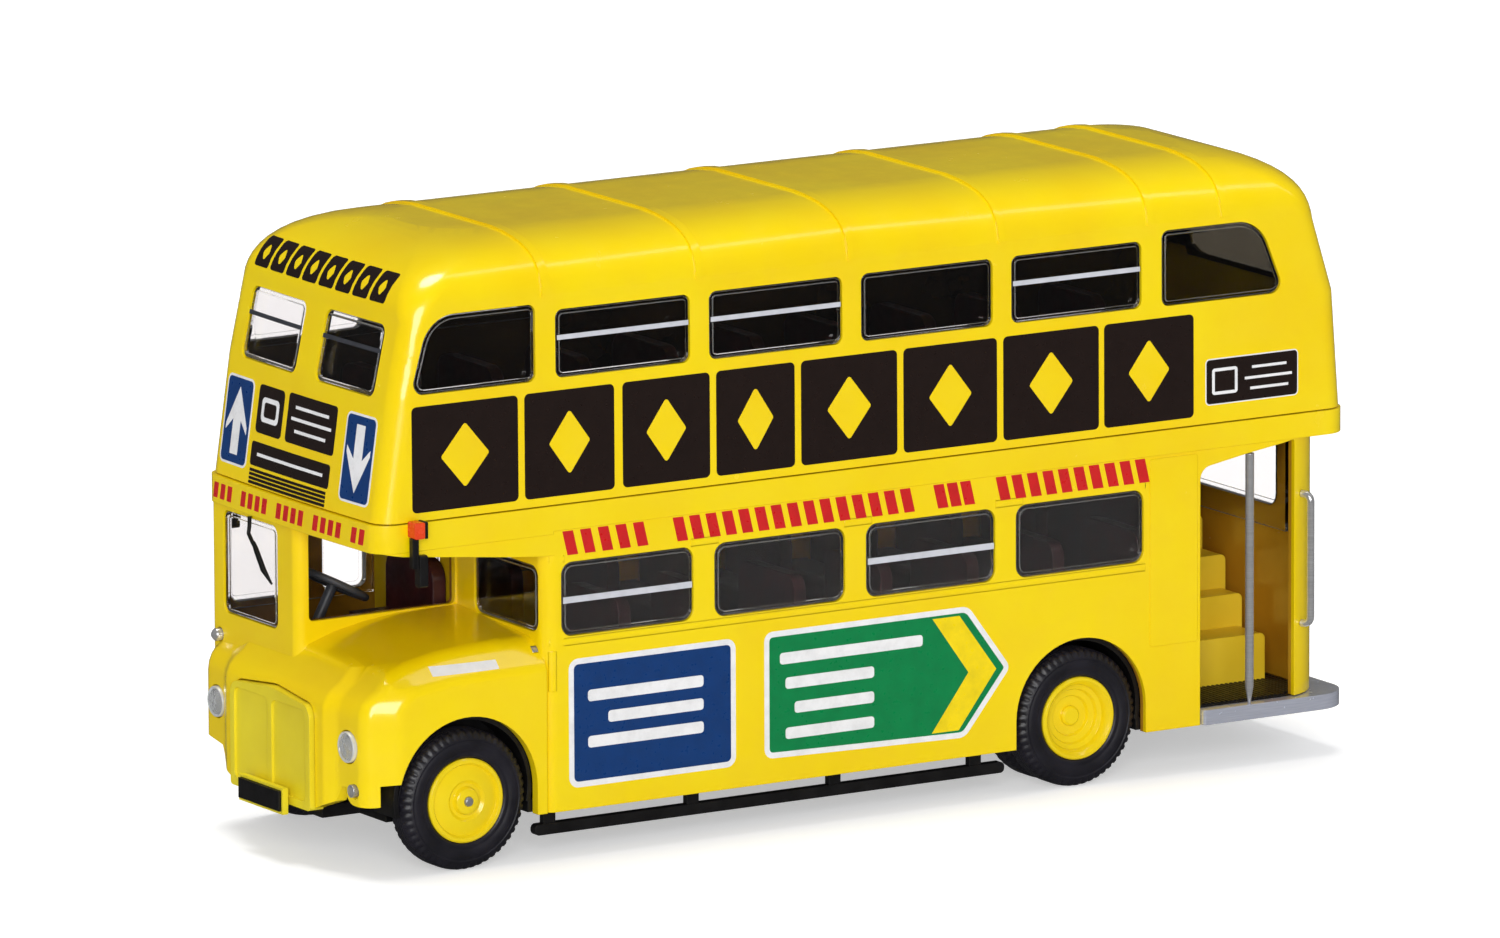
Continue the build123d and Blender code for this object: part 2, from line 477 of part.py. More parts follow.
# ---- glazing -------------------------------------------------------------------------
def make_upper_glazing():
    """Four clear mouldings: a sheet inside the casting, with panes that fill its windows."""
    sheet = upper_form(WALL + FIT) - upper_form(WALL + FIT + SHEET)
    skin = upper_form(PANE_INSET) - upper_form(WALL + FIT + SHEET / 2)
    low, high = QUARTER_SILL - SHEET_MARGIN, QUARTER_TOP + SHEET_MARGIN / 2
    side_y, out = HALF_WIDTH - 2.75, HALF_WIDTH + 2
    front_y, rear_y = UPPER_FRONT[0][1] + SHEET_MARGIN / 2, UPPER_REAR[0][1] + SHEET_MARGIN
    side_rear, side_front = REAR_AXLE_X - 24.0, FRONT_AXLE_X + 4.1
    front_x, rear_x = FRONT_AXLE_X + 2, REAR_AXLE_X - 24.6
    sides, fronts, rears = upper_side_panes(-FIT), panes(UPPER_FRONT, -FIT), panes(UPPER_REAR, -FIT)
    # name: region that the sheet fills, window outlines, how they are extruded, from, to
    table = {
        "left": (block(side_rear, side_front, side_y, out, low, high), sides, prism_y, side_y, out),
        "right": (block(side_rear, side_front, -side_y, -out, low, high), sides, prism_y, -side_y, -out),
        "front": (block(front_x, FRONT_X, -front_y, front_y, low, high), fronts, prism_x, front_x, FRONT_X),
        "rear": (block(REAR_X, rear_x, -rear_y, rear_y, low, high), rears, prism_x, REAR_X, rear_x),
    }
    parts = {}
    for name, (region, outlines, prism, start, end) in table.items():
        body = sheet & region
        for outline in outlines:
            body += skin & prism(outline, start, end)
        parts["upper_glazing_" + name] = body
    return parts


def flat_glazing(tables, prism, back, face, toward, margin=SHEET_MARGIN):
    """One sheet behind a set of windows, with a pane in each; toward is +1 or -1 along the axis."""
    a0, a1 = min(t[0] for t in tables) - margin, max(t[1] for t in tables) + margin
    b0, b1 = min(t[2] for t in tables) - margin, max(t[3] for t in tables) + margin / 2
    near = back - toward * FIT
    sheet = Pos((a0 + a1) / 2, (b0 + b1) / 2) * Rectangle(a1 - a0, b1 - b0)
    glass = prism(sheet, *sorted((near - toward * SHEET, near)))
    for table in tables:
        glass += prism(pane(*table, -FIT), *sorted((near, face - toward * PANE_INSET)))
    return glass


def make_lower_glazing():
    parts = {}
    front, rear, z0, z1, r = ROWS["lower"]
    pitch = (front - rear + PILLAR["lower"]) / ROW_COUNT
    windows = []
    for i in range(ROW_COUNT):
        windows.append((front - (i + 1) * pitch + PILLAR["lower"], front - i * pitch, z0, z1, r))
    parts["lower_glazing_left"] = flat_glazing(windows, prism_y, INNER_Y, HALF_WIDTH, 1)
    parts["lower_glazing_right"] = flat_glazing(windows, prism_y, -INNER_Y, -HALF_WIDTH, -1)
    parts["cab_side_glazing"] = flat_glazing(CAB_SIDE, prism_y, -INNER_Y, -HALF_WIDTH, -1)
    cross = [BULKHEAD_PANE, CAB_BACK_PANE]
    bulkhead = flat_glazing(cross, prism_x, BULKHEAD_X - WALL, BULKHEAD_X, 1)
    for side in (1, -1):    # its sheet ends short of the glazing along the sides
        bulkhead -= block(PARTITION_X, BULKHEAD_X - WALL, side * ROOM_Y, side * HALF_WIDTH, 0, SPLIT_Z)
    parts["bulkhead_glazing"] = bulkhead
    parts["windscreen"] = flat_glazing([WINDSCREEN], prism_x, CAB_FRONT_X - WALL, CAB_FRONT_X, 1)
    parts["platform_rear_glazing"] = flat_glazing(
        [PLATFORM_PANE], prism_x, LOWER_REAR_X + WALL, LOWER_REAR_X, -1, PLATFORM_SHEET_MARGIN,
    )
    return parts


# ---- interior ------------------------------------------------------------------------
def seat_pair(x, y, z, half):
    """One double seat facing forwards: cushion and back."""
    length, height = CUSHION
    cushion = block(x - length / 2, x + length / 2, y - half, y + half, z, z + height)
    cushion = fillet(cushion.edges().filter_by(Axis.Y).sort_by(Axis.Z)[-2:], 0.8)
    rear = x - length / 2
    back = block(rear - BACK_THICK, rear + FIT, y - half, y + half, z, z + BACK_TOP)
    return cushion + fillet(back.edges().filter_by(Axis.X).sort_by(Axis.Z)[-2:], 1.5)


def seat_rows(places, z):
    """Double seats on both sides of the gangway, at an even pitch from the front."""
    front, rear = places
    half = (ROOM_Y - 0.4 - SEAT_GANGWAY) / 2
    count = int((front - rear) / SEAT_PITCH) + 1
    seats = []
    for i in range(count):
        for side in (1, -1):
            seats.append(seat_pair(front - i * SEAT_PITCH, side * (SEAT_GANGWAY + half), z, half))
    return seats


def make_interiors():
    parts = {}
    deck_plan = plan(ROOM_Y, BAND_FRONT_X - 2.2, BAND_REAR_X + 2.2, 2.2, 1.8)
    deck = rise(deck_plan, SPLIT_Z - 0.9, DECK_Z)
    for seat in seat_rows(UPPER_SEATS_X, DECK_Z):
        deck += seat
    parts["upper_seats"] = deck
    floor = block(PARTITION_X, BULKHEAD_X - WALL - FIT, -ROOM_Y, ROOM_Y, FLOOR_Z - FLOOR_THICK, FLOOR_Z)
    floor += block(PARTITION_X - 0.8, PARTITION_X, -ROOM_Y, ROOM_Y, SKIRT_Z + BASE_THICK + 1, CANOPY_Z)
    for seat in seat_rows(LOWER_SEATS_X, FLOOR_Z):
        floor += seat
    parts["lower_seats"] = floor
    parts["driver_seat"] = make_driver_seat()
    stairs = None
    rear, front = LOWER_REAR_X + STAIR_BACK, PARTITION_X - 0.9
    for inward, top in STEP_RISERS:
        step = block(rear, front, -HALF_WIDTH, HALF_WIDTH - inward, PLATFORM_Z, top)
        step = fillet(step.edges().filter_by(Axis.Y).group_by(Axis.Z)[-1].sort_by(Axis.X)[0], STEP_ROUND)
        stairs = step if stairs is None else stairs + step
    parts["staircase"] = stairs & rise(rear_room(FIT), 0, SPLIT_Z)
    parts["steering_wheel"] = make_steering_wheel()
    return parts


def make_driver_seat():
    """The cab's floor with the seat on it."""
    seat = SEAT_BASE
    (x0, x1), (y0, y1), (behind, ahead) = seat["x"], seat["y"], seat["lean"]
    x_front, y_off, y_near = CAB_FRONT_X - WALL - FIT, 2 * FIT - INNER_Y, CAB_INNER_Y - WALL - FIT
    floor = block(BULKHEAD_X + FIT, x_front, y_off, y_near, FLOOR_Z - FLOOR_THICK, FLOOR_Z)
    cushion = block(x0, x1, y0, y1, FLOOR_Z, FLOOR_Z + seat["top"])
    back = block(x0 - behind, x0 + ahead, y0, y1, FLOOR_Z, FLOOR_Z + seat["back"])
    return floor + cushion + fillet(back.edges().filter_by(Axis.X).sort_by(Axis.Z)[-2:], seat["round"])


def make_steering_wheel():
    """A wheel with four spokes on a leaning column that ends just over the cab's floor."""
    s = STEERING
    r, rim, spoke, tilt = s["r"], s["rim"], s["spoke"], radians(s["tilt"])
    length = (s["z"] - FLOOR_Z - FIT - s["column_r"] * abs(sin(tilt))) / cos(tilt)
    wheel = Torus(r, rim) + Box(2 * r, spoke, spoke / 2) + Box(spoke, 2 * r, spoke / 2)
    wheel += Pos(0, 0, -length / 2) * Cylinder(s["column_r"], length)
    return Pos(s["x"], s["y"], s["z"]) * Rot(0, s["tilt"], 0) * wheel


# ---- base and running gear -----------------------------------------------------------
def make_base():
    low, high = SKIRT_Z + FIT, SKIRT_Z + FIT + BASE_THICK
    edge = INNER_Y - FIT
    rear_x, front_x, nose_half = PARTITION_X - 0.4, NOSE_X - WING_EDGE_BACK - 2 * FIT, GRILLE_HALF - 0.6
    plate = block(rear_x, front_x, -edge, edge, low, high)
    plate += block(front_x - WALL, NOSE_X - WALL - 2 * FIT, -nose_half, nose_half, low, high)
    for end, x in AXLE_X.items():
        r = ARCH_R[end]
        inner = WHEEL_FACE_Y - WHEEL_DEPTH[end] - WHEEL_BOX_GAP
        bearing_y, bearing_top = inner - 2 * FIT, ARCH_Z + 2 * AXLE_R
        for side in (1, -1):
            clear = r - WHEEL_BOX
            plate -= block(x - clear, x + clear, side * inner, side * HALF_WIDTH, 0, ARCH_Z + r)
            shell = prism_y(Pos(x, ARCH_Z) * Circle(r), side * (inner - WHEEL_BOX), side * edge)
            shell &= block(x - r, x + r, -edge, edge, high - FIT, ARCH_Z + r)
            plate += shell - prism_y(Pos(x, ARCH_Z) * Circle(clear), side * inner, side * HALF_WIDTH)
        plate += block(x - BEARING_HALF, x + BEARING_HALF, -bearing_y, bearing_y, low, bearing_top)
        plate -= prism_y(Pos(x, TYRE_R) * Circle(AXLE_R + RUNNING), -HALF_WIDTH, HALF_WIDTH)
    plate += block(KEEL["rear"], KEEL["front"], -KEEL["half"], KEEL["half"], KEEL_Z, low + FIT)
    tray = plan(HALF_WIDTH - 1.3, rear_x, EDGE_REAR_X + FIT, FIT, EDGE_INNER_CORNER)
    tray_top = PLATFORM_Z - MAT_THICK - FIT
    tray = rise(tray, tray_top - TRAY_THICK, tray_top)
    plate += tray & block(REAR_X, PARTITION_X, PLATFORM_OFF_Y + FIT, HALF_WIDTH, 0, PLATFORM_Z)
    for x in PLINTH_SCREWS_X:
        plate += Pos(x, 0, (low + BOSS_TOP) / 2) * Cylinder(BOSS_R, BOSS_TOP - low)
        plate -= Pos(x, 0, KEEL_Z + SCREW_DEPTH / 2) * Cylinder(SCREW_R, SCREW_DEPTH)
    return plate


def make_life_guard(side):
    """The rail that hangs under one side on its posts."""
    y = side * (HALF_WIDTH - GUARD_IN)
    z0, z1 = GUARD_Z
    front, rear = GUARD_X
    rail = block(rear, front, y - GUARD_HALF, y + GUARD_HALF, z0, z1)
    rail = fillet(rail.edges().filter_by(Axis.Y), 0.45)
    first, last = front - GUARD_POST_END, rear + 2 * GUARD_POST_END
    for i in range(GUARD_POSTS):
        x = first + (last - first) * i / (GUARD_POSTS - 1)
        rail += block(x - 0.65, x + 0.65, y - GUARD_HALF + FIT, y + GUARD_HALF - FIT, z1 - FIT, SKIRT_Z + FIT)
    return rail


def revolved(profile, side, y_face):
    """A solid of revolution about an axle; the profile is (radius, distance in from the face)."""
    solid = revolve(make_face(Polyline(*profile, close=True)), Axis.Y)
    if side > 0:
        solid = mirror(solid, Plane.XZ)
    return Pos(0, side * y_face, TYRE_R) * solid


def make_tyre(side, y_face):
    """A tyre with round shoulders and a bead that covers the rim's edge."""
    r, w = TYRE_R, TYRE_W
    bead = [(RIM_R, 0.30), (RIM_R + 0.45, 0.02)]
    half = bead + [(r - 1.2, 0.0), (r - 0.55, 0.14), (r - 0.15, 0.42), (r, 0.85)]
    return revolved(half + [(radius, w - depth) for radius, depth in reversed(half)], side, y_face)


def make_front_hub(side):
    """A hub that bulges out to a boss round the axle's end."""
    back = TYRE_W - 0.3
    bore, tip_bore = AXLE_R, AXLE_TIP_R + 0.03
    profile = [
        (bore, 0.35), (bore, back), (RIM_R, back), (RIM_R, 0.10), (RIM_R - 0.15, -0.05),
        (RIM_R - 0.45, -0.05), (RIM_R - 0.65, 0.30), (2.75, 0.12), (1.95, -0.02), (1.65, 0.22), (1.35, 0.22),
        (1.20, -0.25), (0.95, -0.40), (tip_bore, -0.40), (tip_bore, 0.35),
    ]
    return revolved(profile, side, WHEEL_FACE_Y)


def make_rear_hub(side):
    """A dished hub with stepped rings and a small boss."""
    back = WHEEL_DEPTH["rear"] - 0.3
    profile = [
        (0, 1.25), (0.75, 1.25), (0.95, 1.45), (0.95, 1.75), (1.85, 1.75), (2.00, 1.45), (2.55, 1.35),
        (2.70, 1.00), (3.10, 0.85), (3.25, 0.35), (RIM_R - 0.35, -0.05), (RIM_R - 0.12, -0.05), (RIM_R, 0.10),
        (RIM_R, back), (AXLE_R, back), (AXLE_R, 2.60), (0, 2.60),
    ]
    return revolved(profile, side, WHEEL_FACE_Y)


def make_wheels():
    parts = {}
    twin_y = WHEEL_FACE_Y - TYRE_W - TWIN_GAP
    for name, side in (("left", 1), ("right", -1)):
        front, rear = Pos(FRONT_AXLE_X, 0, 0), Pos(REAR_AXLE_X, 0, 0)
        parts["front_tyre_" + name] = front * make_tyre(side, WHEEL_FACE_Y)
        parts["front_hub_" + name] = front * make_front_hub(side)
        twins = [make_tyre(side, WHEEL_FACE_Y), make_tyre(side, twin_y)]
        parts["rear_tyres_" + name] = rear * Compound(children=twins)
        parts["rear_hub_" + name] = rear * make_rear_hub(side)
    rod = Rot(90, 0, 0) * Cylinder(AXLE_R, 2 * (WHEEL_FACE_Y - 0.35))
    tip = Rot(90, 0, 0) * Cylinder(AXLE_TIP_R, 2 * (WHEEL_FACE_Y + 0.65))
    tip = fillet(tip.edges().filter_by(GeomType.CIRCLE), 0.2)
    parts["front_axle"] = Pos(FRONT_AXLE_X, 0, TYRE_R) * (rod + tip)
    dead_end = Rot(90, 0, 0) * Cylinder(AXLE_R, 2 * (WHEEL_FACE_Y - 2.6))
    parts["rear_axle"] = Pos(REAR_AXLE_X, 0, TYRE_R) * dead_end
    return parts


# ---- fittings ------------------------------------------------------------------------
def make_grille():
    """The radiator grille with its two panels, and the number plate's holder at its foot."""
    face, holder_back = NOSE_X + GRILLE_PROUD, FRONT_X - PLATE_RIM_DEPTH - PLATE[2] / 2
    grille = prism_x(grille_outline(), NOSE_X - WALL, face)
    low, high = GRILLE_Z["bottom"] + GRILLE_RIM, GRILLE_Z["side"] - GRILLE_RIM + 0.3
    edge = GRILLE_HALF - GRILLE_RIM
    for side in (1, -1):
        inner, outer = sorted((side * GRILLE_BAR_HALF, side * edge))
        grille -= prism_x(pane(inner, outer, low, high, 0.7), face - GRILLE_PANEL, face + WALL)
    half, height, thick = PLATE
    top, seat, out, middle = PLATE_Z + height, FIT / 2, PLATE_RIM, half - 0.5
    holder = block(holder_back, FRONT_X - thick / 2, -half - out, half + out, PLATE_Z - out, top + out)
    holder -= block(FRONT_X - thick, FRONT_X, -half - seat, half + seat, PLATE_Z - seat, top + seat)
    stem = block(face - FIT, holder_back + FIT, -middle, middle, PLATE_Z + out, top)
    return grille + holder + stem


def make_front_fittings():
    half, height, thick = PLATE
    parts = {"radiator_grille": make_grille()}
    parts["front_number_plate"] = block(FRONT_X - thick, FRONT_X, -half, half, PLATE_Z, PLATE_Z + height)
    for name, (x, y, z, r, length) in LAMPS.items():
        parts[name] = Pos(x, y, z) * Rot(0, 90, 0) * Cylinder(r, length)
    band_y = HALF_WIDTH + BAND_PROUD
    head_y = band_y + MIRROR_OUT
    head_out, arm_out = head_y + MIRROR_HEAD["thick"], head_y + MIRROR_ARM["thick"]
    for name, side in (("left", 1), ("right", -1)):
        ear = block(*INDICATOR["x"], side * band_y, side * (band_y + INDICATOR["out"]), *INDICATOR["z"])
        parts["indicator_" + name] = fillet(ear.edges().filter_by(Axis.Y), INDICATOR_ROUND)
        head = block(*MIRROR_HEAD["x"], side * head_y, side * head_out, *MIRROR_HEAD["z"])
        head = fillet(head.edges().filter_by(Axis.X), MIRROR_ROUND)
        arm_z = (MIRROR_ARM["low"], INDICATOR["z"][0])
        arm = block(*MIRROR_ARM["x"], side * head_y, side * arm_out, *arm_z)
        parts["mirror_" + name] = head + arm
    return parts


def make_platform_fittings():
    parts = {}
    edge_half = HALF_WIDTH + EDGE_PROUD
    mat_half, mat_rear = edge_half - EDGE_THICK - FIT, EDGE_REAR_X + FIT
    keep = block(REAR_X, PARTITION_X, PLATFORM_OFF_Y + FIT, edge_half, 0, PLATFORM_Z)
    mat = plan(mat_half, PARTITION_X - 0.9, mat_rear, 0.4, EDGE_INNER_CORNER)
    parts["platform_mat"] = rise(mat, PLATFORM_Z - MAT_THICK, PLATFORM_Z) & keep
    outer = plan(edge_half, DOOR_FRONT_X - FIT, REAR_X, 0.3, EDGE_CORNER)
    inner = plan(edge_half - EDGE_THICK, 0, EDGE_REAR_X, 0.4, EDGE_INNER_CORNER)
    parts["platform_edge"] = (rise(outer, EDGE_Z - EDGE_DEPTH, EDGE_Z) - rise(inner, 0, PLATFORM_Z)) & keep
    header = SPLIT_Z + DOOR_TOP[1][1] - FIT / 2
    y = HALF_WIDTH - POLE_IN
    pole = Pos(POLE_X, y, (EDGE_Z + POLE_TIP + header) / 2) * Cylinder(POLE_R, header - EDGE_Z - POLE_TIP)
    parts["platform_pole"] = pole + Pos(POLE_X, y, EDGE_Z + POLE_TIP / 2) * Cone(POLE_R / 3, POLE_R, POLE_TIP)
    parts["grab_handle"] = make_grab_handle()
    return parts


def make_grab_handle():
    """A bent rod that stands off the rounded corner behind the doorway."""
    z0, z1 = HANDLE_Z
    corners = [(0, 0, z0), (0, HANDLE_STAND, z0), (0, HANDLE_STAND, z1), (0, 0, z1)]
    path = FilletPolyline(*corners, radius=HANDLE_BEND)
    rod = sweep(Plane(origin=(0, 0, z0), z_dir=(0, 1, 0)) * Circle(HANDLE_R), path=path)
    centre = Pos(LOWER_REAR_X + LOWER_REAR_CORNER, HALF_WIDTH - LOWER_REAR_CORNER, 0)
    return centre * Rot(0, 0, HANDLE_ANGLE) * Pos(0, LOWER_REAR_CORNER + FIT / 2, 0) * rod


def make_rear_fittings():
    parts = {}
    face = LOWER_REAR_X - FIT / 2
    parts["rear_number_plate"] = block(face - REAR_PLATE["thick"], face, *REAR_PLATE["y"], *REAR_PLATE["z"])
    for name, side in (("left", 1), ("right", -1)):
        place = Pos(face - REAR_PLATE["thick"] / 2, side * REAR_LAMP["y"], REAR_LAMP["z"])
        parts["rear_lamp_" + name] = place * Rot(0, 90, 0) * Cylinder(REAR_LAMP["r"], REAR_PLATE["thick"])
    return parts


# ---- build ---------------------------------------------------------------------------
def build():
    parts = {"upper_body": make_upper_body(), "lower_body": make_lower_body(), "chassis_base": make_base()}
    for made in (make_upper_glazing(), make_lower_glazing(), make_interiors(), make_wheels(),
                 make_front_fittings(), make_platform_fittings(), make_rear_fittings()):
        parts.update(made)
    parts["life_guard_left"] = make_life_guard(1)
    parts["life_guard_right"] = make_life_guard(-1)
    return parts


os.makedirs("parts", exist_ok=True)
for node, shape in build().items():
    export_step(Compound(children=list(shape.solids())), f"parts/{node}.step")
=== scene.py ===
"""Looks of the half-cab double decker bus: materials, livery, panes, tread, beading and light.

Every length is in millimetres in the CAD frame until a mesh is made: +X forwards, +Y nearside, +Z up.
"""
import math

import bmesh
import bpy
from mathutils import Matrix, Vector
from mathutils.bvhtree import BVHTree
from mathutils.geometry import tessellate_polygon


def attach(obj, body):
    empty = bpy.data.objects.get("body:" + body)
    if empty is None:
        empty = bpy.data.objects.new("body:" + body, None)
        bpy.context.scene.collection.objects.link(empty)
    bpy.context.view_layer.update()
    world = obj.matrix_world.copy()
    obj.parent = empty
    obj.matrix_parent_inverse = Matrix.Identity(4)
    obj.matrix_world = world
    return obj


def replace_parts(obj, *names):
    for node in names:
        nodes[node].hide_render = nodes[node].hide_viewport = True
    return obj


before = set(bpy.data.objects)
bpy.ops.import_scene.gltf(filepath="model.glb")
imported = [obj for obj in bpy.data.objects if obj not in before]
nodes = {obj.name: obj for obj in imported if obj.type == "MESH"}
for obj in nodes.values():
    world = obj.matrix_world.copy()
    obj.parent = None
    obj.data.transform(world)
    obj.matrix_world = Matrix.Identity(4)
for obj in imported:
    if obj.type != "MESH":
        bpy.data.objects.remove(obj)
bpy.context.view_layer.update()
scene = bpy.context.scene
MM = 0.001
SIDES = (("left", 1), ("right", -1))  # nearside, offside: tag, sign of y

# ---- sizes shared with the CAD source ----
AXLE_Z = 6.64
FRONT_AXLE_X, REAR_AXLE_X = 42.5, -25.0
WHEEL_FACE_Y = 15.6
TYRE_W, TWIN_GAP = 3.3, 0.6


# ---- colours, each with the deeper one that it drifts into ----
def srgb(r, g, b):
    """A colour written as screen values, made linear."""
    shares = (r / 255, g / 255, b / 255)
    return tuple(c / 12.92 if c <= 0.04045 else ((c + 0.055) / 1.055) ** 2.4 for c in shares)


YELLOW, YELLOW_DEEP = srgb(249, 219, 6), srgb(246, 210, 4)
MOULDING, MOULDING_DEEP = srgb(240, 222, 38), srgb(224, 204, 32)
HUB, HUB_DEEP = srgb(242, 214, 20), srgb(234, 202, 14)
INSIDE, INSIDE_DEEP = srgb(250, 214, 50), srgb(240, 200, 40)
# Painted shade: the castings are yellow inside, and the next three darker colours stand in for the shade in
# the lower deck, the cab and the upper saloon.
SALOON_SHADE, SALOON_SHADE_DEEP = srgb(206, 152, 36), srgb(178, 124, 26)
CAB_SHADE, CAB_SHADE_DEEP = srgb(150, 108, 30), srgb(120, 84, 24)
UPPER_SHADE, UPPER_SHADE_DEEP = srgb(70, 52, 26), srgb(44, 30, 18)
MAROON, MAROON_DEEP = srgb(62, 22, 27), srgb(44, 16, 20)
RUBBER, RUBBER_DEEP = srgb(32, 30, 39), srgb(22, 21, 28)
BASE_BLACK, BASE_BLACK_DEEP = srgb(24, 23, 24), srgb(14, 13, 14)
STEERING, STEERING_DEEP = srgb(66, 68, 74), srgb(50, 52, 58)
LAMP_ORANGE, LAMP_ORANGE_DEEP = srgb(236, 74, 30), srgb(216, 58, 24)
LAMP_RED = srgb(190, 16, 14)
PLATING, EDGE_PLATING = srgb(214, 214, 216), srgb(216, 220, 236)
BARE_STEEL, SILVERING = srgb(186, 186, 188), srgb(244, 246, 248)
RAIL_PALE = srgb(206, 208, 216)
PRINT = {
    "black": srgb(34, 23, 20), "red": srgb(208, 28, 30), "blue": srgb(14, 58, 118),
    "green": srgb(2, 132, 72), "white": srgb(240, 240, 242), "yellow": YELLOW,
}
CLEAR_TINT, CLEAR_PASSED = (0.97, 0.96, 0.96), (0.3, 0.29, 0.28)
TINTED, TINTED_PASSED = (0.35, 0.33, 0.28), (0.2, 0.19, 0.17)
SMOKED, SMOKED_PASSED = (0.5, 0.48, 0.48), (0.25, 0.24, 0.23)
LENS_TINT = (0.97, 0.98, 0.98)


def shaded(colour, share):
    return tuple(c * share for c in colour)


# ---- materials ----
MIX_A, MIX_B, MIX_RESULT = 6, 7, 2  # colour sockets of the Mix node
BEVEL_SAMPLES = 6
SHADE_ROOM_FADE = 0.05
GLASS_IOR, LENS_IOR = 1.25, 1.5
EDGE_BLOOM = 0.22  # bloom of a clear moulding on its bevels
BEVEL_SQUARENESS = (0.75, 0.93)  # from a bevel to a flat face
PRINT_ROUGH = 0.3


class Finish:
    """A node material whose patterns are laid out in millimetres on the object."""

    def __init__(self, name):
        self.material = bpy.data.materials.new(name)
        self.material.use_nodes = True
        self.tree = self.material.node_tree
        self.shader = self.tree.nodes["Principled BSDF"]
        self.output = self.tree.nodes["Material Output"]
        self.coords = self.node("ShaderNodeTexCoord")
        self.place = self.node("ShaderNodeMapping")
        self.place.inputs["Scale"].default_value = (1 / MM,) * 3
        self.link(self.coords.outputs["Object"], self.place.inputs["Vector"])

    def node(self, kind, **values):
        made = self.tree.nodes.new(kind)
        for key, value in values.items():
            setattr(made, key, value)
        return made

    def link(self, a, b):
        self.tree.links.new(a, b)

    def set(self, **values):
        for key, value in values.items():
            socket = self.shader.inputs[key.replace("_", " ")]
            socket.default_value = (*value, 1.0) if isinstance(value, tuple) else value

    def noise(self, per_mm, detail=3.0, stretch=None, rough=0.5):
        made = self.node("ShaderNodeTexNoise")
        made.inputs["Scale"].default_value = per_mm
        made.inputs["Detail"].default_value = detail
        made.inputs["Roughness"].default_value = rough
        source = self.place
        if stretch:
            source = self.node("ShaderNodeMapping")
            source.inputs["Scale"].default_value = stretch
            self.link(self.place.outputs[0], source.inputs["Vector"])
        self.link(source.outputs[0], made.inputs["Vector"])
        return made.outputs["Fac"]

    def ramp(self, value, low, high, out_low=0.0, out_high=1.0):
        made = self.node("ShaderNodeMapRange")
        for key, number in zip(("From Min", "From Max", "To Min", "To Max"), (low, high, out_low, out_high)):
            made.inputs[key].default_value = number
        self.link(value, made.inputs["Value"])
        return made.outputs["Result"]

    def blend(self, a, b, share):
        """One colour into another; either may be a socket."""
        made = self.node("ShaderNodeMix", data_type="RGBA")
        self.link(share, made.inputs["Factor"])
        for index, value in ((MIX_A, a), (MIX_B, b)):
            if isinstance(value, tuple):
                made.inputs[index].default_value = (*value, 1.0)
            else:
                self.link(value, made.inputs[index])
        return made.outputs[MIX_RESULT]

    def two_tone(self, main, deep, pattern, low, high):
        """A base colour that drifts into a deeper one."""
        self.link(self.blend(main, deep, self.ramp(pattern, low, high)), self.shader.inputs["Base Color"])

    def gloss(self, pattern, least, most, low=0.3, high=0.7):
        """A roughness that varies between two values."""
        self.link(self.ramp(pattern, low, high, least, most), self.shader.inputs["Roughness"])

    def vector(self, operation, value, by=None):
        made = self.node("ShaderNodeVectorMath", operation=operation)
        self.link(value, made.inputs[0])
        if by:
            made.inputs[1].default_value = by
        return made.outputs["Value" if operation == "LENGTH" else "Vector"]

    def inside(self, centre, half, r):
        """1 within a box with rounded corners, and 0 outside it."""
        away = self.vector("ABSOLUTE", self.vector("SUBTRACT", self.place.outputs[0], centre))
        past = self.vector("SUBTRACT", away, [h - r for h in half])
        past = self.vector("MAXIMUM", past, (0.0, 0.0, 0.0))
        return self.ramp(self.vector("LENGTH", past), r - SHADE_ROOM_FADE, r + SHADE_ROOM_FADE, 1.0, 0.0)

    def squareness(self):
        """How nearly a face looks straight along x or y, from 0 to 1."""
        parts = self.node("ShaderNodeSeparateXYZ")
        self.link(self.vector("ABSOLUTE", self.coords.outputs["Normal"]), parts.inputs[0])
        larger = self.node("ShaderNodeMath", operation="MAXIMUM")
        self.link(parts.outputs["X"], larger.inputs[0])
        self.link(parts.outputs["Y"], larger.inputs[1])
        return larger.outputs[0]

    def bump(self, height, depth_mm, strength, edge_mm=0.0):
        """Relief of a depth in millimetres, over softened edges."""
        made = self.node("ShaderNodeBump")
        made.inputs["Strength"].default_value = strength
        made.inputs["Distance"].default_value = depth_mm * MM
        self.link(height, made.inputs["Height"])
        if edge_mm:
            soft = self.node("ShaderNodeBevel", samples=BEVEL_SAMPLES)
            soft.inputs["Radius"].default_value = edge_mm * MM
            self.link(soft.outputs[0], made.inputs["Normal"])
        self.link(made.outputs[0], self.shader.inputs["Normal"])


def mixed(tree, share, first, second):
    """One shader into another."""
    made = tree.nodes.new("ShaderNodeMixShader")
    for socket, value in zip(made.inputs, (share, first, second)):
        tree.links.new(value, socket)
    return made.outputs[0]


def painted(name, main, deep, rough, edge_mm, coat=0.5, peel=0.006, shade_rooms=()):
    """Glossy enamel: slow drifts of colour, orange peel, smudges in the gloss. Rooms get painted shade:
    darker colours inside the castings.
    """
    f = Finish(name)
    drift = f.ramp(f.noise(0.09, detail=4.0), 0.35, 0.7)
    colour = f.blend(main, deep, drift)
    # Painted shade: inside each room the colour drifts between two darker tones.
    for near, far, *shade_room in shade_rooms:
        colour = f.blend(colour, f.blend(near, far, drift), f.inside(*shade_room))
    f.link(colour, f.shader.inputs["Base Color"])
    f.gloss(f.noise(0.35, detail=5.0, rough=0.65), rough - 0.05, rough + 0.09, high=0.75)
    f.set(Coat_Weight=coat, Coat_Roughness=0.06, Specular_IOR_Level=0.5)
    f.bump(f.noise(2.2, detail=2.0), peel, 0.5, edge_mm)
    return f.material


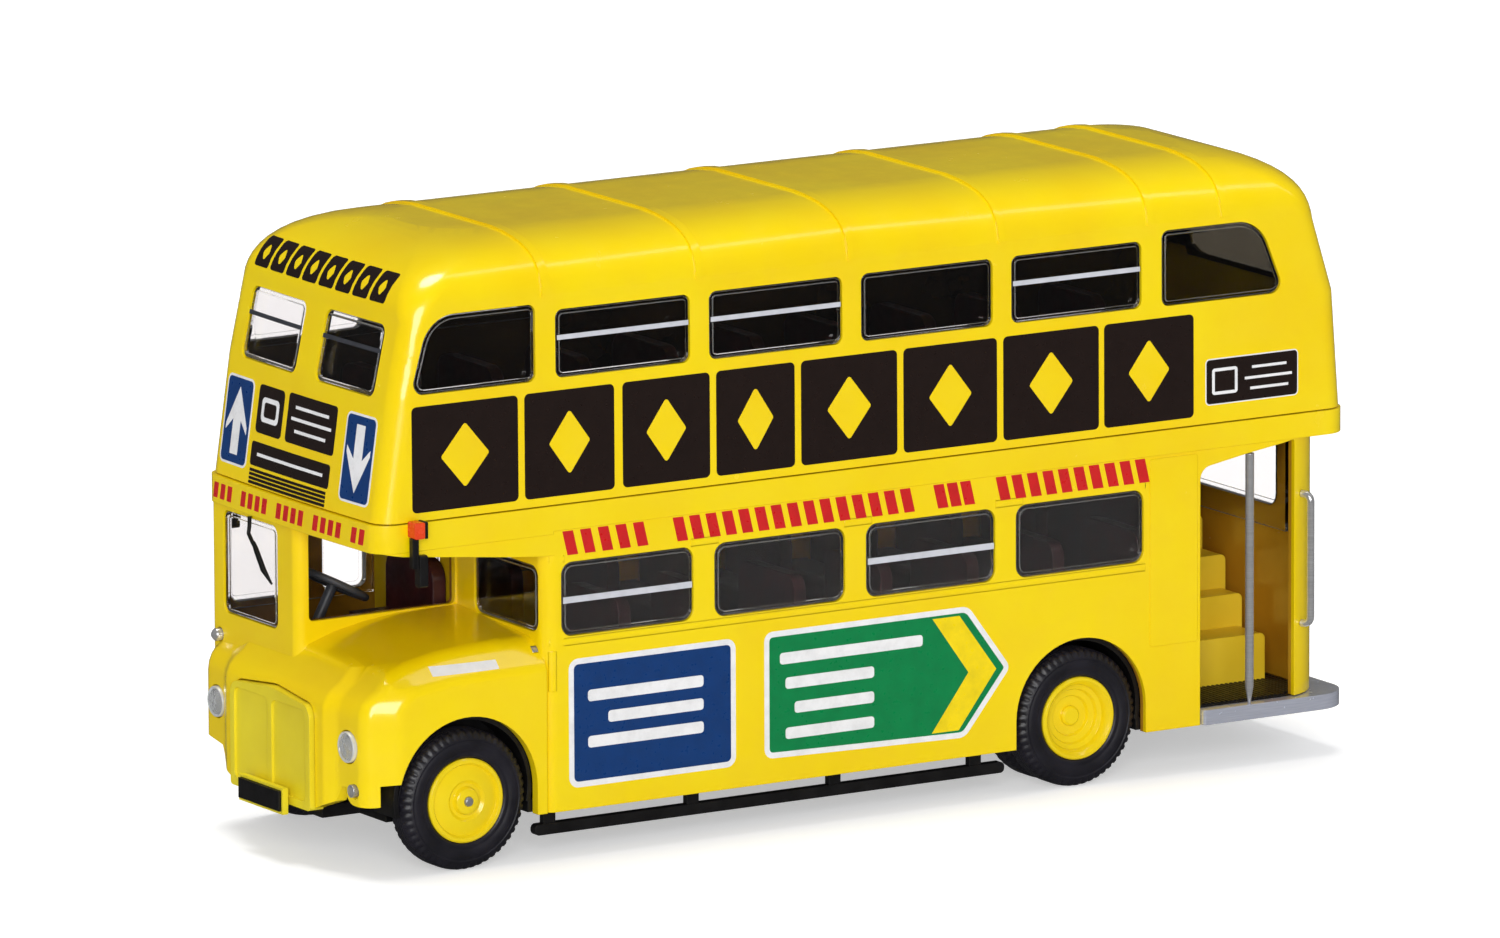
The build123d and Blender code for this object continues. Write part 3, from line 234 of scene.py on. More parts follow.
def moulded(name, main, deep, rough, grain_per_mm, grain_mm, edge_mm=0.1, spec=0.4):
    """Moulded plastic or rubber with a fine grain."""
    f = Finish(name)
    f.two_tone(main, deep, f.noise(0.4, detail=5.0), 0.35, 0.65)
    f.gloss(f.noise(1.1, detail=4.0), rough - 0.07, rough + 0.08)
    f.set(Specular_IOR_Level=spec)
    f.bump(f.noise(grain_per_mm), grain_mm, 0.7, edge_mm)
    return f.material


def metal(name, colour, rough, stretch, shine=0.65):
    """Plated or turned metal with fine streaks along one direction."""
    f = Finish(name)
    lines = f.noise(3.0, stretch=stretch)
    f.two_tone(colour, shaded(colour, 0.8), lines, 0.3, 0.7)
    f.gloss(f.noise(1.5, detail=4.0), rough - 0.04, rough + 0.08)
    f.set(Metallic=shine)
    f.bump(lines, 0.01, 0.3, edge_mm=0.12)
    return f.material


def printed(name, colour):
    """Ink laid over the enamel: a slightly uneven film with its own gloss."""
    f = Finish(name)
    f.two_tone(colour, shaded(colour, 0.82), f.noise(0.5, detail=6.0, rough=0.7), 0.4, 0.75)
    f.gloss(f.noise(2.0), PRINT_ROUGH - 0.04, PRINT_ROUGH + 0.08)
    f.set(Coat_Weight=0.12, Coat_Roughness=0.1, Specular_IOR_Level=0.35)
    f.bump(f.noise(4.0, detail=2.0), 0.003, 0.5)
    return f.material


def clear(name, tint, passed, bloom=0.0):
    """Clear moulding with faint flow marks and a bloom on its bevels. Lamps light what is behind it."""
    f = Finish(name)
    f.set(Base_Color=tint, Roughness=0.02, IOR=GLASS_IOR, Transmission_Weight=1.0, Specular_IOR_Level=0.2)
    f.bump(f.noise(0.25, detail=2.0), 0.02, 0.15)
    passing = f.node("ShaderNodeBsdfTransparent")
    passing.inputs["Color"].default_value = (*passed, 1.0)
    dust = f.node("ShaderNodeBsdfDiffuse").outputs[0]
    share = f.ramp(f.squareness(), *BEVEL_SQUARENESS, EDGE_BLOOM, bloom)
    dusty = mixed(f.tree, share, f.shader.outputs[0], dust)
    shadow = f.node("ShaderNodeLightPath").outputs["Is Shadow Ray"]
    f.link(mixed(f.tree, shadow, dusty, passing.outputs[0]), f.output.inputs["Surface"])
    return f.material


def lens(name, colour, transmission):
    """Pressed lamp lens with small facets."""
    f = Finish(name)
    f.set(Base_Color=colour, Roughness=0.08, IOR=LENS_IOR, Transmission_Weight=transmission)
    cells = f.node("ShaderNodeTexVoronoi")
    cells.inputs["Scale"].default_value = 2.6
    f.link(f.place.outputs[0], cells.inputs["Vector"])
    f.bump(cells.outputs["Distance"], 0.08, 0.6)
    return f.material


def upper_shade_room(rear, top):
    """Painted shade on the inside of the upper casting up to one height, as it slopes in towards the roof."""
    front, floor_z, half_width = 47.8, 33.0, 15.45
    centre = ((front + rear) / 2, 0.0, (floor_z + top) / 2)
    return UPPER_SHADE, UPPER_SHADE_DEEP, centre, ((front - rear) / 2, half_width, (top - floor_z) / 2), 1.0


# Painted shade on the insides of the castings, to the middle of their walls: two colours, centre, half sizes,
# corner radius.
SALOON_SHADE_ROOM = (SALOON_SHADE, SALOON_SHADE_DEEP, (-9.9, 0.0, 0.0), (43.55, 15.55, 60.0), 6.0)
CAB_SHADE_ROOM = (CAB_SHADE, CAB_SHADE_DEEP, (42.6, -7.95, 0.0), (8.4, 7.6, 60.0), 0.6)
UPPER_SHADE_ROOMS = [upper_shade_room(rear, top) for rear, top in ((-51.7, 53.0), (-52.4, 50.5), (-53.2, 48.0))]

PAINT = painted("yellow_enamel", YELLOW, YELLOW_DEEP, 0.2, 0.14)
# The yellow enamel of the two castings, with painted shade on their insides.
UPPER_PAINT_AND_SHADE = painted("yellow_enamel_upper_painted_shade", YELLOW, YELLOW_DEEP, 0.2, 0.0, shade_rooms=UPPER_SHADE_ROOMS)
LOWER_PAINT_AND_SHADE = painted("yellow_enamel_lower_painted_shade", YELLOW, YELLOW_DEEP, 0.2, 0.14, shade_rooms=(SALOON_SHADE_ROOM, CAB_SHADE_ROOM))
MOULDED_YELLOW = painted("yellow_plastic", MOULDING, MOULDING_DEEP, 0.34, 0.08, coat=0.1, peel=0.004)
HUB_YELLOW = painted("yellow_hub_plastic", HUB, HUB_DEEP, 0.2, 0.06, coat=0.4, peel=0.004)
INSIDE_YELLOW = painted("yellow_moulding_inside", INSIDE, INSIDE_DEEP, 0.35, 0.15, coat=0.1)
SEAT = moulded("maroon_plastic", MAROON, MAROON_DEEP, 0.45, 3.5, 0.02, edge_mm=0.25)
BLACK = moulded("black_plastic", BASE_BLACK, BASE_BLACK_DEEP, 0.42, 5.0, 0.012)
GREY = moulded("grey_plastic", STEERING, STEERING_DEEP, 0.4, 5.0, 0.01)
TYRE = moulded("tyre_rubber", RUBBER, RUBBER_DEEP, 0.42, 6.0, 0.012, edge_mm=0.05, spec=0.5)
LENS_ORANGE = moulded("indicator_orange", LAMP_ORANGE, LAMP_ORANGE_DEEP, 0.25, 3.0, 0.01)
CHROME = metal("bright_plating", PLATING, 0.14, (0.15, 0.15, 3.0))
EDGE_METAL = metal("platform_plating", EDGE_PLATING, 0.2, (0.1, 0.1, 4.0), shine=0.5)
STEEL = metal("turned_steel", BARE_STEEL, 0.3, (4.0, 0.3, 4.0))
REFLECTOR = metal("lamp_reflector", SILVERING, 0.12, (0.3, 0.3, 0.3), shine=0.35)
GLASS = clear("clear_moulding", CLEAR_TINT, CLEAR_PASSED)
LOWER_GLASS = clear("clear_moulding_lower", CLEAR_TINT, CLEAR_PASSED, bloom=0.01)
DARK_GLASS = clear("tinted_moulding", TINTED, TINTED_PASSED)
SMOKED_GLASS = clear("smoked_moulding", SMOKED, SMOKED_PASSED)
LENS_CLEAR = lens("lens_clear", LENS_TINT, 0.85)
LENS_RED = lens("lens_red", LAMP_RED, 0.3)
INK = {name: printed("print_" + name, colour) for name, colour in PRINT.items()}
RAIL = printed("print_rail", RAIL_PALE)

# Every other node is a clear moulding.
NODE_FINISH = {name: finish for finish, names in (
    (UPPER_PAINT_AND_SHADE, "upper_body"),
    (LOWER_PAINT_AND_SHADE, "lower_body"),
    (DARK_GLASS, "upper_glazing_rear"),
    (LOWER_GLASS, "lower_glazing_left lower_glazing_right"),
    (MOULDED_YELLOW, "radiator_grille"),
    (INSIDE_YELLOW, "staircase"),
    (HUB_YELLOW, "front_hub_left front_hub_right rear_hub_left rear_hub_right"),
    (SEAT, "upper_seats lower_seats driver_seat"),
    (GREY, "steering_wheel"),
    (BLACK, "chassis_base life_guard_left life_guard_right platform_mat mirror_left mirror_right"),
    (BLACK, "front_number_plate rear_number_plate"),
    (EDGE_METAL, "platform_edge"),
    (CHROME, "platform_pole grab_handle fog_lamp side_lamp_left side_lamp_right"),
    (STEEL, "front_axle rear_axle"),
    (LENS_CLEAR, "headlamp_left headlamp_right"),
    (LENS_RED, "rear_lamp_left rear_lamp_right"),
    (LENS_ORANGE, "indicator_left indicator_right"),
    (TYRE, "front_tyre_left front_tyre_right rear_tyres_left rear_tyres_right"),
) for name in names.split()}

CAD_SMOOTH_ANGLE, PIECE_SMOOTH_ANGLE = math.radians(33), math.radians(38)


def smooth_normals(obj):
    """Shades a CAD mesh smoothly across its flatter edges, with its vertices untouched."""
    mesh = obj.data
    places = [tuple(round(c / MM, 3) for c in v.co) for v in mesh.vertices]
    sharing = {}
    for poly in mesh.polygons:
        for v in poly.vertices:
            sharing.setdefault(places[v], []).append((poly.normal.copy(), poly.area))
    least = math.cos(CAD_SMOOTH_ANGLE)
    normals = []
    for poly in mesh.polygons:
        for v in poly.vertices:
            total = Vector()
            for normal, area in sharing[places[v]]:
                if normal.dot(poly.normal) > least:
                    total += normal * area
            normals.append(total.normalized() if total.length else poly.normal)
    mesh.normals_split_custom_set(normals)


for node_name, node in nodes.items():
    node.data.materials.clear()
    node.data.materials.append(NODE_FINISH.get(node_name, GLASS))
    smooth_normals(node)


# ---- making pieces ----
FAR = 80.0  # where a ray starts, outside the bus
MIN_TURN = 1e-4  # radians
MIN_LENGTH = 1e-6
JOIN_GAP = 1e-4
CUT_GAP = 1e-5
WELD_METRES, SLIVER_METRES = 1e-8, 1e-9


def mend(mesh, weld=False):
    """Turns the faces outwards, and can join points that meet."""
    bm = bmesh.new()
    bm.from_mesh(mesh)
    if weld:
        bmesh.ops.remove_doubles(bm, verts=bm.verts, dist=WELD_METRES)
        bmesh.ops.dissolve_degenerate(bm, edges=bm.edges, dist=SLIVER_METRES)
    bmesh.ops.recalc_face_normals(bm, faces=bm.faces)
    bm.to_mesh(mesh)
    bm.free()


def piece(name, points, faces, finish, body="body", smooth=True):
    """A mesh piece from points in millimetres."""
    mesh = bpy.data.meshes.new(name)
    mesh.from_pydata([Vector(p) * MM for p in points], [], faces)
    mend(mesh)
    mesh.materials.append(finish)
    obj = bpy.data.objects.new(name, mesh)
    scene.collection.objects.link(obj)
    if smooth:
        mesh.shade_smooth()
        mesh.set_sharp_from_angle(angle=PIECE_SMOOTH_ANGLE)
    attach(obj, body)
    return obj


def between(a, b, count):
    """Faces between two closed rings of points that start at a and b."""
    return [[a + i, a + (i + 1) % count, b + (i + 1) % count, b + i] for i in range(count)]


def tree_of(*names):
    """A search tree over some CAD nodes, in millimetres."""
    points, faces = [], []
    for name in names:
        mesh = nodes[name].data
        start = len(points)
        points += [v.co / MM for v in mesh.vertices]
        faces += [[start + v for v in poly.vertices] for poly in mesh.polygons]
    return BVHTree.FromPolygons(points, faces)


def outermost(tree, origin, ahead):
    """Places u and v on the first surface that a ray from outside meets, with its normal."""
    def place(u, v):
        hit, normal, _, _ = tree.ray_cast(origin(u, v), ahead)
        return (hit, normal) if hit else None
    return place


def on_side(tree, sign):
    """Places x and z on the nearside (+1) or offside (-1)."""
    return outermost(tree, lambda x, z: Vector((x, sign * FAR, z)), Vector((0, -sign, 0)))


def on_end(tree, sign):
    """Places y and z on the front (+1) or rear (-1)."""
    return outermost(tree, lambda y, z: Vector((sign * FAR, y, z)), Vector((-sign, 0, 0)))


CASTINGS = tree_of("upper_body", "lower_body")


def arc_outline(corners, steps=6):
    """A closed outline whose corners are u, v and radius."""
    outline = []
    count = len(corners)
    for i, (u, v, r) in enumerate(corners):
        here = Vector((u, v))
        before = (Vector(corners[i - 1][:2]) - here).normalized()
        after = (Vector(corners[(i + 1) % count][:2]) - here).normalized()
        if not r:
            outline.append(here)
            continue
        half = before.angle(after) / 2
        reach = r / math.tan(half)
        centre = here + (before + after).normalized() * r / math.sin(half)
        a, b = here + before * reach - centre, here + after * reach - centre
        for k in range(steps + 1):
            spoke = a.slerp(b, k / steps) if a.angle(b) > MIN_TURN else a
            outline.append(centre + spoke.normalized() * r)
    return outline


def box_outline(u0, u1, v0, v1, r=0.0, steps=6):
    return arc_outline([(u0, v0, r), (u1, v0, r), (u1, v1, r), (u0, v1, r)], steps)


def bar(u0, u1, v, half, r=0.0, steps=6):
    """The shape of a level bar about a height."""
    return [box_outline(u0, u1, v - half, v + half, r, steps)]


def boxes(table):
    return [box_outline(*box) for box in table]


def slanted(u0, u1, v0, v1, lean):
    """A box whose top leans along u."""
    return [Vector(p) for p in ((u0, v0), (u1, v0), (u1 + lean, v1), (u0 + lean, v1))]


def inset(outline, amount):
    """An outline taken in along its own normals."""
    count = len(outline)
    area = sum(a.x * b.y - b.x * a.y for a, b in zip(outline, outline[1:] + outline[:1]))
    turn = 1 if area > 0 else -1
    made = []
    for i, p in enumerate(outline):
        before, after = p - outline[i - 1], outline[(i + 1) % count] - p
        if before.length < MIN_LENGTH:
            before = after
        if after.length < MIN_LENGTH:
            after = before
        n1 = Vector((-before.y, before.x)).normalized() * turn
        n2 = Vector((-after.y, after.x)).normalized() * turn
        mid = (n1 + n2).normalized()
        made.append(p + mid * amount / max(0.5, mid.dot(n1)))
    return made


def flat_mesh(outlines):
    """A triangulated flat mesh of one shape."""
    bm = bmesh.new()
    loops = [[Vector((p.x, p.y, 0)) for p in outline] for outline in outlines]
    verts = [bm.verts.new(p) for loop in loops for p in loop]
    for tri in tessellate_polygon(loops):
        if len(set(tri)) == 3:
            try:
                bm.faces.new([verts[i] for i in tri])
            except ValueError:  # the face is there already
                continue
    bmesh.ops.remove_doubles(bm, verts=bm.verts, dist=JOIN_GAP)
    return bm


def cut_up(bm, outlines, pitch):
    """Cuts a flat mesh along a grid, so that it can follow a curved surface."""
    for axis in (0, 1):
        values = [p[axis] for outline in outlines for p in outline]
        low, high = min(values), max(values)
        count = int((high - low) / pitch)
        for k in range(1, count + 1):
            at, normal = Vector((0, 0, 0)), Vector((0, 0, 0))
            at[axis] = low + (high - low) * k / (count + 1)
            normal[axis] = 1
            geom = bm.verts[:] + bm.edges[:] + bm.faces[:]
            bmesh.ops.bisect_plane(bm, geom=geom, plane_co=at, plane_no=normal, dist=CUT_GAP)
    bm.verts.index_update()


def film(name, shapes, place, finish, lift, sink=0.03, pitch=2.0):
    """A thin closed film laid on a surface. shapes are lists of outlines: the outside, then any holes."""
    points, faces = [], []
    for outlines in shapes:
        bm = flat_mesh(outlines)
        cut_up(bm, outlines, pitch)
        start = len(points)
        placed = [place(v.co.x, v.co.y) for v in bm.verts]
        if None in placed:
            raise ValueError(f"{name} misses the surface")
        count = len(placed)
        points += [hit + normal * lift for hit, normal in placed]
        points += [hit - normal * sink for hit, normal in placed]
        for face in bm.faces:
            loop = [start + v.index for v in face.verts]
            faces.append(loop)
            faces.append([i + count for i in reversed(loop)])
        for edge in bm.edges:
            if edge.is_boundary:
                a, b = (start + v.index for v in edge.verts)
                faces.append([a, b, b + count, a + count])
        bm.free()
    return piece(name, points, faces, finish, smooth=False)


# ---- camera ----
PHOTO_WIDTH = 1500
FOCAL_PIXELS = 16312.9
CAMERA_AT, CAMERA_TO = Vector((795.10, 1286.27, 330.18)), Vector((1.88, 0.0, 31.03))
CAMERA_ROLL = math.radians(-0.226)
SENSOR_WIDTH = 36.0
CLIP_METRES = (0.01, 50.0)


def make_camera():
    data = bpy.data.cameras.new("camera")
    data.sensor_width = SENSOR_WIDTH
    data.lens = FOCAL_PIXELS * data.sensor_width / PHOTO_WIDTH
    data.clip_start, data.clip_end = CLIP_METRES
    camera = bpy.data.objects.new("camera", data)
    ahead = (CAMERA_TO - CAMERA_AT).normalized()
    right = ahead.cross(Vector((0, 0, 1))).normalized()
    up = right.cross(ahead)
    c, s = math.cos(CAMERA_ROLL), math.sin(CAMERA_ROLL)
    right, up = right * c + up * s, up * c - right * s
    turn = Matrix((right, up, -ahead)).transposed().to_4x4()
    camera.matrix_world = Matrix.Translation(CAMERA_AT * MM) @ turn
    scene.collection.objects.link(camera)
    scene.camera = camera


make_camera()

# ---- light, floor and backdrop ----
scene.view_settings.view_transform = "Standard"
FLOOR_HALF = 6000.0
FLOOR_ROUGH = 0.9


def sun(name, toward, level, spread):
    """A far soft lamp. level is how bright a white surface is that faces it."""
    data = bpy.data.lights.new(name, "SUN")
    data.energy = level * math.pi
    data.angle = math.radians(spread)
    lamp = bpy.data.objects.new(name, data)
    lamp.rotation_euler = Vector(toward).to_track_quat("Z", "Y").to_euler()
    scene.collection.objects.link(lamp)


def softbox(name, at, aim, width, height, radiance):
    """A flat soft lamp of an even brightness."""
    data = bpy.data.lights.new(name, "AREA")
    data.shape = "RECTANGLE"
    data.size, data.size_y = width * MM, height * MM
    data.energy = radiance * math.pi * data.size * data.size_y
    lamp = bpy.data.objects.new(name, data)
    lamp.location = Vector(at) * MM
    lamp.rotation_euler = (Vector(at) - Vector(aim)).to_track_quat("Z", "X").to_euler()
    scene.collection.objects.link(lamp)


def math_node(tree, kind, *values):
    made = tree.nodes.new("ShaderNodeMath")
    made.operation = kind
    for socket, value in zip(made.inputs, values):
        if isinstance(value, (int, float)):
            socket.default_value = value
        else:
            tree.links.new(value, socket)
    return made.outputs[0]


def none_of(tree, depth):
    """1 where a ray has had no bounce of one kind yet, and 0 after the first."""
    return math_node(tree, "SUBTRACT", 1.0, math_node(tree, "MINIMUM", 1.0, depth))


def seen_directly(tree, rays):
    """1 for what is seen, also through glass, and 0 for light on the object and reflections."""
    matt, unmirrored = none_of(tree, rays["Diffuse Depth"]), none_of(tree, rays["Glossy Depth"])
    straight = math_node(tree, "MULTIPLY", matt, unmirrored)
    through = math_node(tree, "MULTIPLY", rays["Is Transmission Ray"], straight)
    return math_node(tree, "MAXIMUM", rays["Is Camera Ray"], through)


def mirrored_only(tree, rays):
    """1 for reflections, and 0 for what is seen directly or lights the object."""
    mirrored = math_node(tree, "MINIMUM", 1.0, rays["Glossy Depth"])
    return math_node(tree, "MULTIPLY", mirrored, none_of(tree, rays["Diffuse Depth"]))


def make_world(level, seen, mirrored):
    """White where it is seen, dull in reflections, and an even light otherwise."""
    world = bpy.data.worlds.new("studio")
    world.use_nodes = True
    tree = world.node_tree
    rays = tree.nodes.new("ShaderNodeLightPath").outputs
    base = math_node(tree, "MULTIPLY_ADD", seen_directly(tree, rays), seen - level, level)
    total = math_node(tree, "MULTIPLY_ADD", mirrored_only(tree, rays), mirrored - level, base)
    background = tree.nodes["Background"]
    background.inputs["Color"].default_value = (1, 1, 1, 1)
    tree.links.new(total, background.inputs["Strength"])
    scene.world = world


def emission(tree, strength):
    made = tree.nodes.new("ShaderNodeEmission")
    made.inputs["Strength"].default_value = strength
    return made.outputs[0]


def make_floor(albedo, lift, mirrored):
    """A pale floor that is white under the lamps, keeps the shadow, and is dull in reflections."""
    mesh = bpy.data.meshes.new("floor")
    corners = [(sx * FLOOR_HALF, sy * FLOOR_HALF, 0) for sx, sy in ((-1, -1), (1, -1), (1, 1), (-1, 1))]
    mesh.from_pydata([Vector(c) * MM for c in corners], [], [(0, 1, 2, 3)])
    floor = bpy.data.objects.new("floor", mesh)
    scene.collection.objects.link(floor)
    material = bpy.data.materials.new("floor")
    material.use_nodes = True
    tree = material.node_tree
    shader = tree.nodes["Principled BSDF"]
    shader.inputs["Base Color"].default_value = (albedo,) * 3 + (1.0,)
    shader.inputs["Roughness"].default_value = FLOOR_ROUGH
    shader.inputs["Specular IOR Level"].default_value = 0.0
    lifted = tree.nodes.new("ShaderNodeAddShader")
    tree.links.new(shader.outputs[0], lifted.inputs[0])
    tree.links.new(emission(tree, lift), lifted.inputs[1])
    rays = tree.nodes.new("ShaderNodeLightPath").outputs
    shown = mixed(tree, seen_directly(tree, rays), shader.outputs[0], lifted.outputs[0])
    shown = mixed(tree, mirrored_only(tree, rays), shown, emission(tree, mirrored))
    tree.links.new(shown, tree.nodes["Material Output"].inputs["Surface"])
    mesh.materials.append(material)


make_world(level=0.30, seen=1.0, mirrored=0.07)
make_floor(albedo=0.8, lift=0.46, mirrored=0.08)
sun("key", toward=(0.50, 0.83, 0.27), level=0.62, spread=35)
sun("overhead", toward=(0.03, -0.12, 1.0), level=0.46, spread=25)
softbox("strip", at=(-273, 196, 480), aim=(0, 14, 50), width=640, height=70, radiance=1.7)

# ---- livery ----
# Generic designs in the places and colours of the printed ones: pierced blocks, slanted dashes, plain
# traffic signs and blank boards. Along a side u is x, and across the front it is y.
FIRST_LIFT, LIFT_STEP = 0.02, 0.02

LOZENGE_SHARE = (0.46, 0.62)  # of the block round it
LOZENGE_R = 0.25
# Front end, rear end of each.
SIDE_BLOCKS = [(48.3, 36.9), (36.2, 26.5), (25.6, 16.1), (15.4, 6.8), (6.1, -4.5), (-5.2, -15.6),
               (-16.3, -27.0), (-27.6, -37.7)]
SIDE_BLOCK_Z, SIDE_BLOCK_R = (34.45, 44.4), 0.5
SIDE_DASHES = [(33.0, 22.9), (20.9, -6.4), (-8.1, -13.1), (-14.8, -32.7)]
SIDE_DASH_Z = (28.75, 31.05)
SIDE_DASH_WIDTH, SIDE_DASH_PITCH, SIDE_DASH_LEAN = 1.15, 1.75, 0.55
BOARD, BOARD_R = (-49.45, -39.15, 35.5, 39.75), 0.35
BOARD_RIM = (-0.12, 0.1)  # out from the board's edge, and in
BOARD_LINES = ((0.10, 0.52), (0.06, 0.58), (0.12, 0.50))  # ends of each, in shares of the board
BOARD_LINE_HALF = 0.13
BLUE_SIGN, BLUE_SIGN_R = (13.45, 31.65, 6.6, 18.85), 1.0
GREEN_SIGN = [(10.3, 19.0, 0.9), (10.3, 6.9, 0.9), (-11.9, 6.4, 1.4), (-17.0, 12.65, 0.8), (-12.3, 19.0, 1.4)]
SIGN_BORDER = 0.55
CHEVRON = [(-8.3, 18.2), (-11.3, 18.2), (-15.4, 12.65), (-11.2, 7.2), (-8.2, 7.2), (-12.3, 12.65)]
SIGN_BARS = [  # rear end, front end, height
    (17.0, 29.6, 15.2), (17.0, 27.4, 13.0), (17.0, 29.6, 10.8),
    (-7.2, 8.6, 16.3), (-1.8, 8.0, 13.9), (-1.8, 7.0, 11.5), (-1.8, 8.0, 9.1),
]
SIGN_BAR_HALF, SIGN_BAR_R = 0.55, 0.3

FRONT_PITCH, FINE_PITCH = 0.7, 0.4  # fine enough for the front's curves
FIRST_BLOCK_PITCH = 0.8
FRONT_SIGNS = {"offside": (-14.0, -8.8, 34.9, 43.2, 1), "nearside": (8.3, 13.5, 34.9, 43.2, -1)}
FRONT_SIGN_R, FRONT_SIGN_BORDER = 0.7, 0.22
ARROW_END, ARROW_HEAD, ARROW_STEM, ARROW_WIDE = 1.0, 2.7, 0.72, 2.0
ARROW_BARB = (0.9, 1.5, 0.35)  # back from the head: outer tip, its underside, where it meets the stem
FRONT_BOARDS = {
    "number": (-7.8, -3.0, 38.6, 43.1, 0.5),
    "via": (-2.2, 6.6, 38.6, 43.2, 0.4),
    "route": (-8.1, 6.4, 35.5, 37.75, 0.35),
}
FRONT_NUMBER = [(-7.0, -3.8, 39.7, 42.0, 0.5), (-6.55, -4.25, 40.15, 41.55, 0.3)]
FRONT_LINES = ((-0.8, 5.2, 42.0), (-1.4, 5.8, 40.9), (-0.6, 5.0, 39.8), (-6.9, 5.2, 36.62))
FRONT_LINE_HALF = 0.15
VENT_Y, VENT_Z, VENT_SLOT, VENT_PITCH, VENT_COUNT = (-8.0, 6.1), 33.8, 0.28, 0.38, 4
FRONT_DASHES = (-14.3, 14.3, 31.45, 32.95, 0.85, 1.35, 0.35)
FRONT_DASH_RUN, FRONT_DASH_GAP = 5, 3  # of every five dashes the fourth is left out
DOME_BLOCK_Y, DOME_BLOCK_Z, DOME_BLOCK_R = -12.6, (53.4, 56.0), 0.3
DOME_BLOCK_WIDTH, DOME_BLOCK_PITCH, DOME_BLOCK_COUNT = 2.6, 3.05, 8
BONNET_LABEL = ((38.9, 18.75), (45.8, 18.7), (45.8, 19.5), (38.9, 19.5))


def printer(place, usual_pitch):
    """Lays print on one surface, on the nth layer over the enamel."""
    def lay(name, shapes, ink, n, pitch=usual_pitch):
        film(name, shapes, place, INK[ink], FIRST_LIFT + n * LIFT_STEP, pitch=pitch)
    return lay


def pierced_block(u0, u1, v0, v1, r):
    """A block with a lozenge cut out of its middle."""
    cu, cv = (u0 + u1) / 2, (v0 + v1) / 2
    a, b = (u1 - u0) * LOZENGE_SHARE[0] / 2, (v1 - v0) * LOZENGE_SHARE[1] / 2
    tips = ((cu - a, cv), (cu, cv - b), (cu + a, cv), (cu, cv + b))
    return [box_outline(u0, u1, v0, v1, r), arc_outline([(*tip, LOZENGE_R) for tip in tips], 3)]


def dashes(u0, u1, v0, v1, width, pitch, lean):
    """Slanted bars that fill a length."""
    length = u1 - u0 - abs(lean)
    count = max(1, round(length / pitch))
    step = length / count
    start = u0 if lean > 0 else u0 - lean
    return [[slanted(start + i * step, start + i * step + width, v0, v1, lean)] for i in range(count)]


def board_marks():
    """Blank route marks on the side board: a rounded frame and short lines."""
    u0, u1, v0, v1 = BOARD
    wide, tall = u1 - u0, v1 - v0
    number = box_outline(u1 - 0.34 * wide, u1 - 0.06 * wide, v0 + 0.2 * tall, v1 - 0.2 * tall, 0.3)
    marks = [[number, inset(number, 0.3)]]
    for k, (a, b) in enumerate(BOARD_LINES):
        marks.append(bar(u0 + a * wide, u0 + b * wide, v0 + tall * (0.26 + 0.24 * k), BOARD_LINE_HALF))
    return marks


def side_livery(tag, sign):
    """The print of the nearside (+1) or offside (-1)."""
    lay = printer(on_side(CASTINGS, sign), 2.0)
    blocks = [pierced_block(rear, front, *SIDE_BLOCK_Z, SIDE_BLOCK_R) for front, rear in SIDE_BLOCKS]
    lay("first_block_" + tag, blocks[:1], "black", 0, pitch=FIRST_BLOCK_PITCH)
    lay("blocks_" + tag, blocks[1:], "black", 0)
    runs = []
    for front, rear in SIDE_DASHES:
        runs += dashes(rear, front, *SIDE_DASH_Z, SIDE_DASH_WIDTH, SIDE_DASH_PITCH, SIDE_DASH_LEAN * sign)
    lay("dashes_" + tag, runs, "red", 0)
    board = box_outline(*BOARD, BOARD_R)
    lay("board_rim_" + tag, [[inset(board, amount) for amount in BOARD_RIM]], "white", 0)
    lay("board_" + tag, [[board]], "black", 1)
    lay("board_marks_" + tag, board_marks(), "white", 2)
    signs = {"blue": box_outline(*BLUE_SIGN, BLUE_SIGN_R), "green": arc_outline(GREEN_SIGN, 4)}
    for colour, plate in signs.items():
        lay(f"{colour}_sign_edge_{tag}", [[plate]], "white", 0)
        lay(f"{colour}_sign_{tag}", [[inset(plate, SIGN_BORDER)]], colour, 1)
    lay("chevron_" + tag, [[[Vector(p) for p in CHEVRON]]], "yellow", 2)
    lay("sign_bars_" + tag, [bar(*row, SIGN_BAR_HALF, SIGN_BAR_R, 3) for row in SIGN_BARS], "white", 2)


def arrow(u, v0, v1, way):
    """A road-sign arrow; way is 1 up and -1 down."""
    tip, tail = (v1 - ARROW_END, v0 + ARROW_END) if way > 0 else (v0 + ARROW_END, v1 - ARROW_END)
    head = tip - way * ARROW_HEAD
    outer, under, inner = (head - way * back for back in ARROW_BARB)
    half = [(ARROW_WIDE, outer), (ARROW_WIDE, under), (ARROW_STEM, inner), (ARROW_STEM, tail)]
    points = [(0.0, tip)] + [(-du, v) for du, v in half] + [(du, v) for du, v in reversed(half)]
    return [Vector((u + du, v)) for du, v in points]


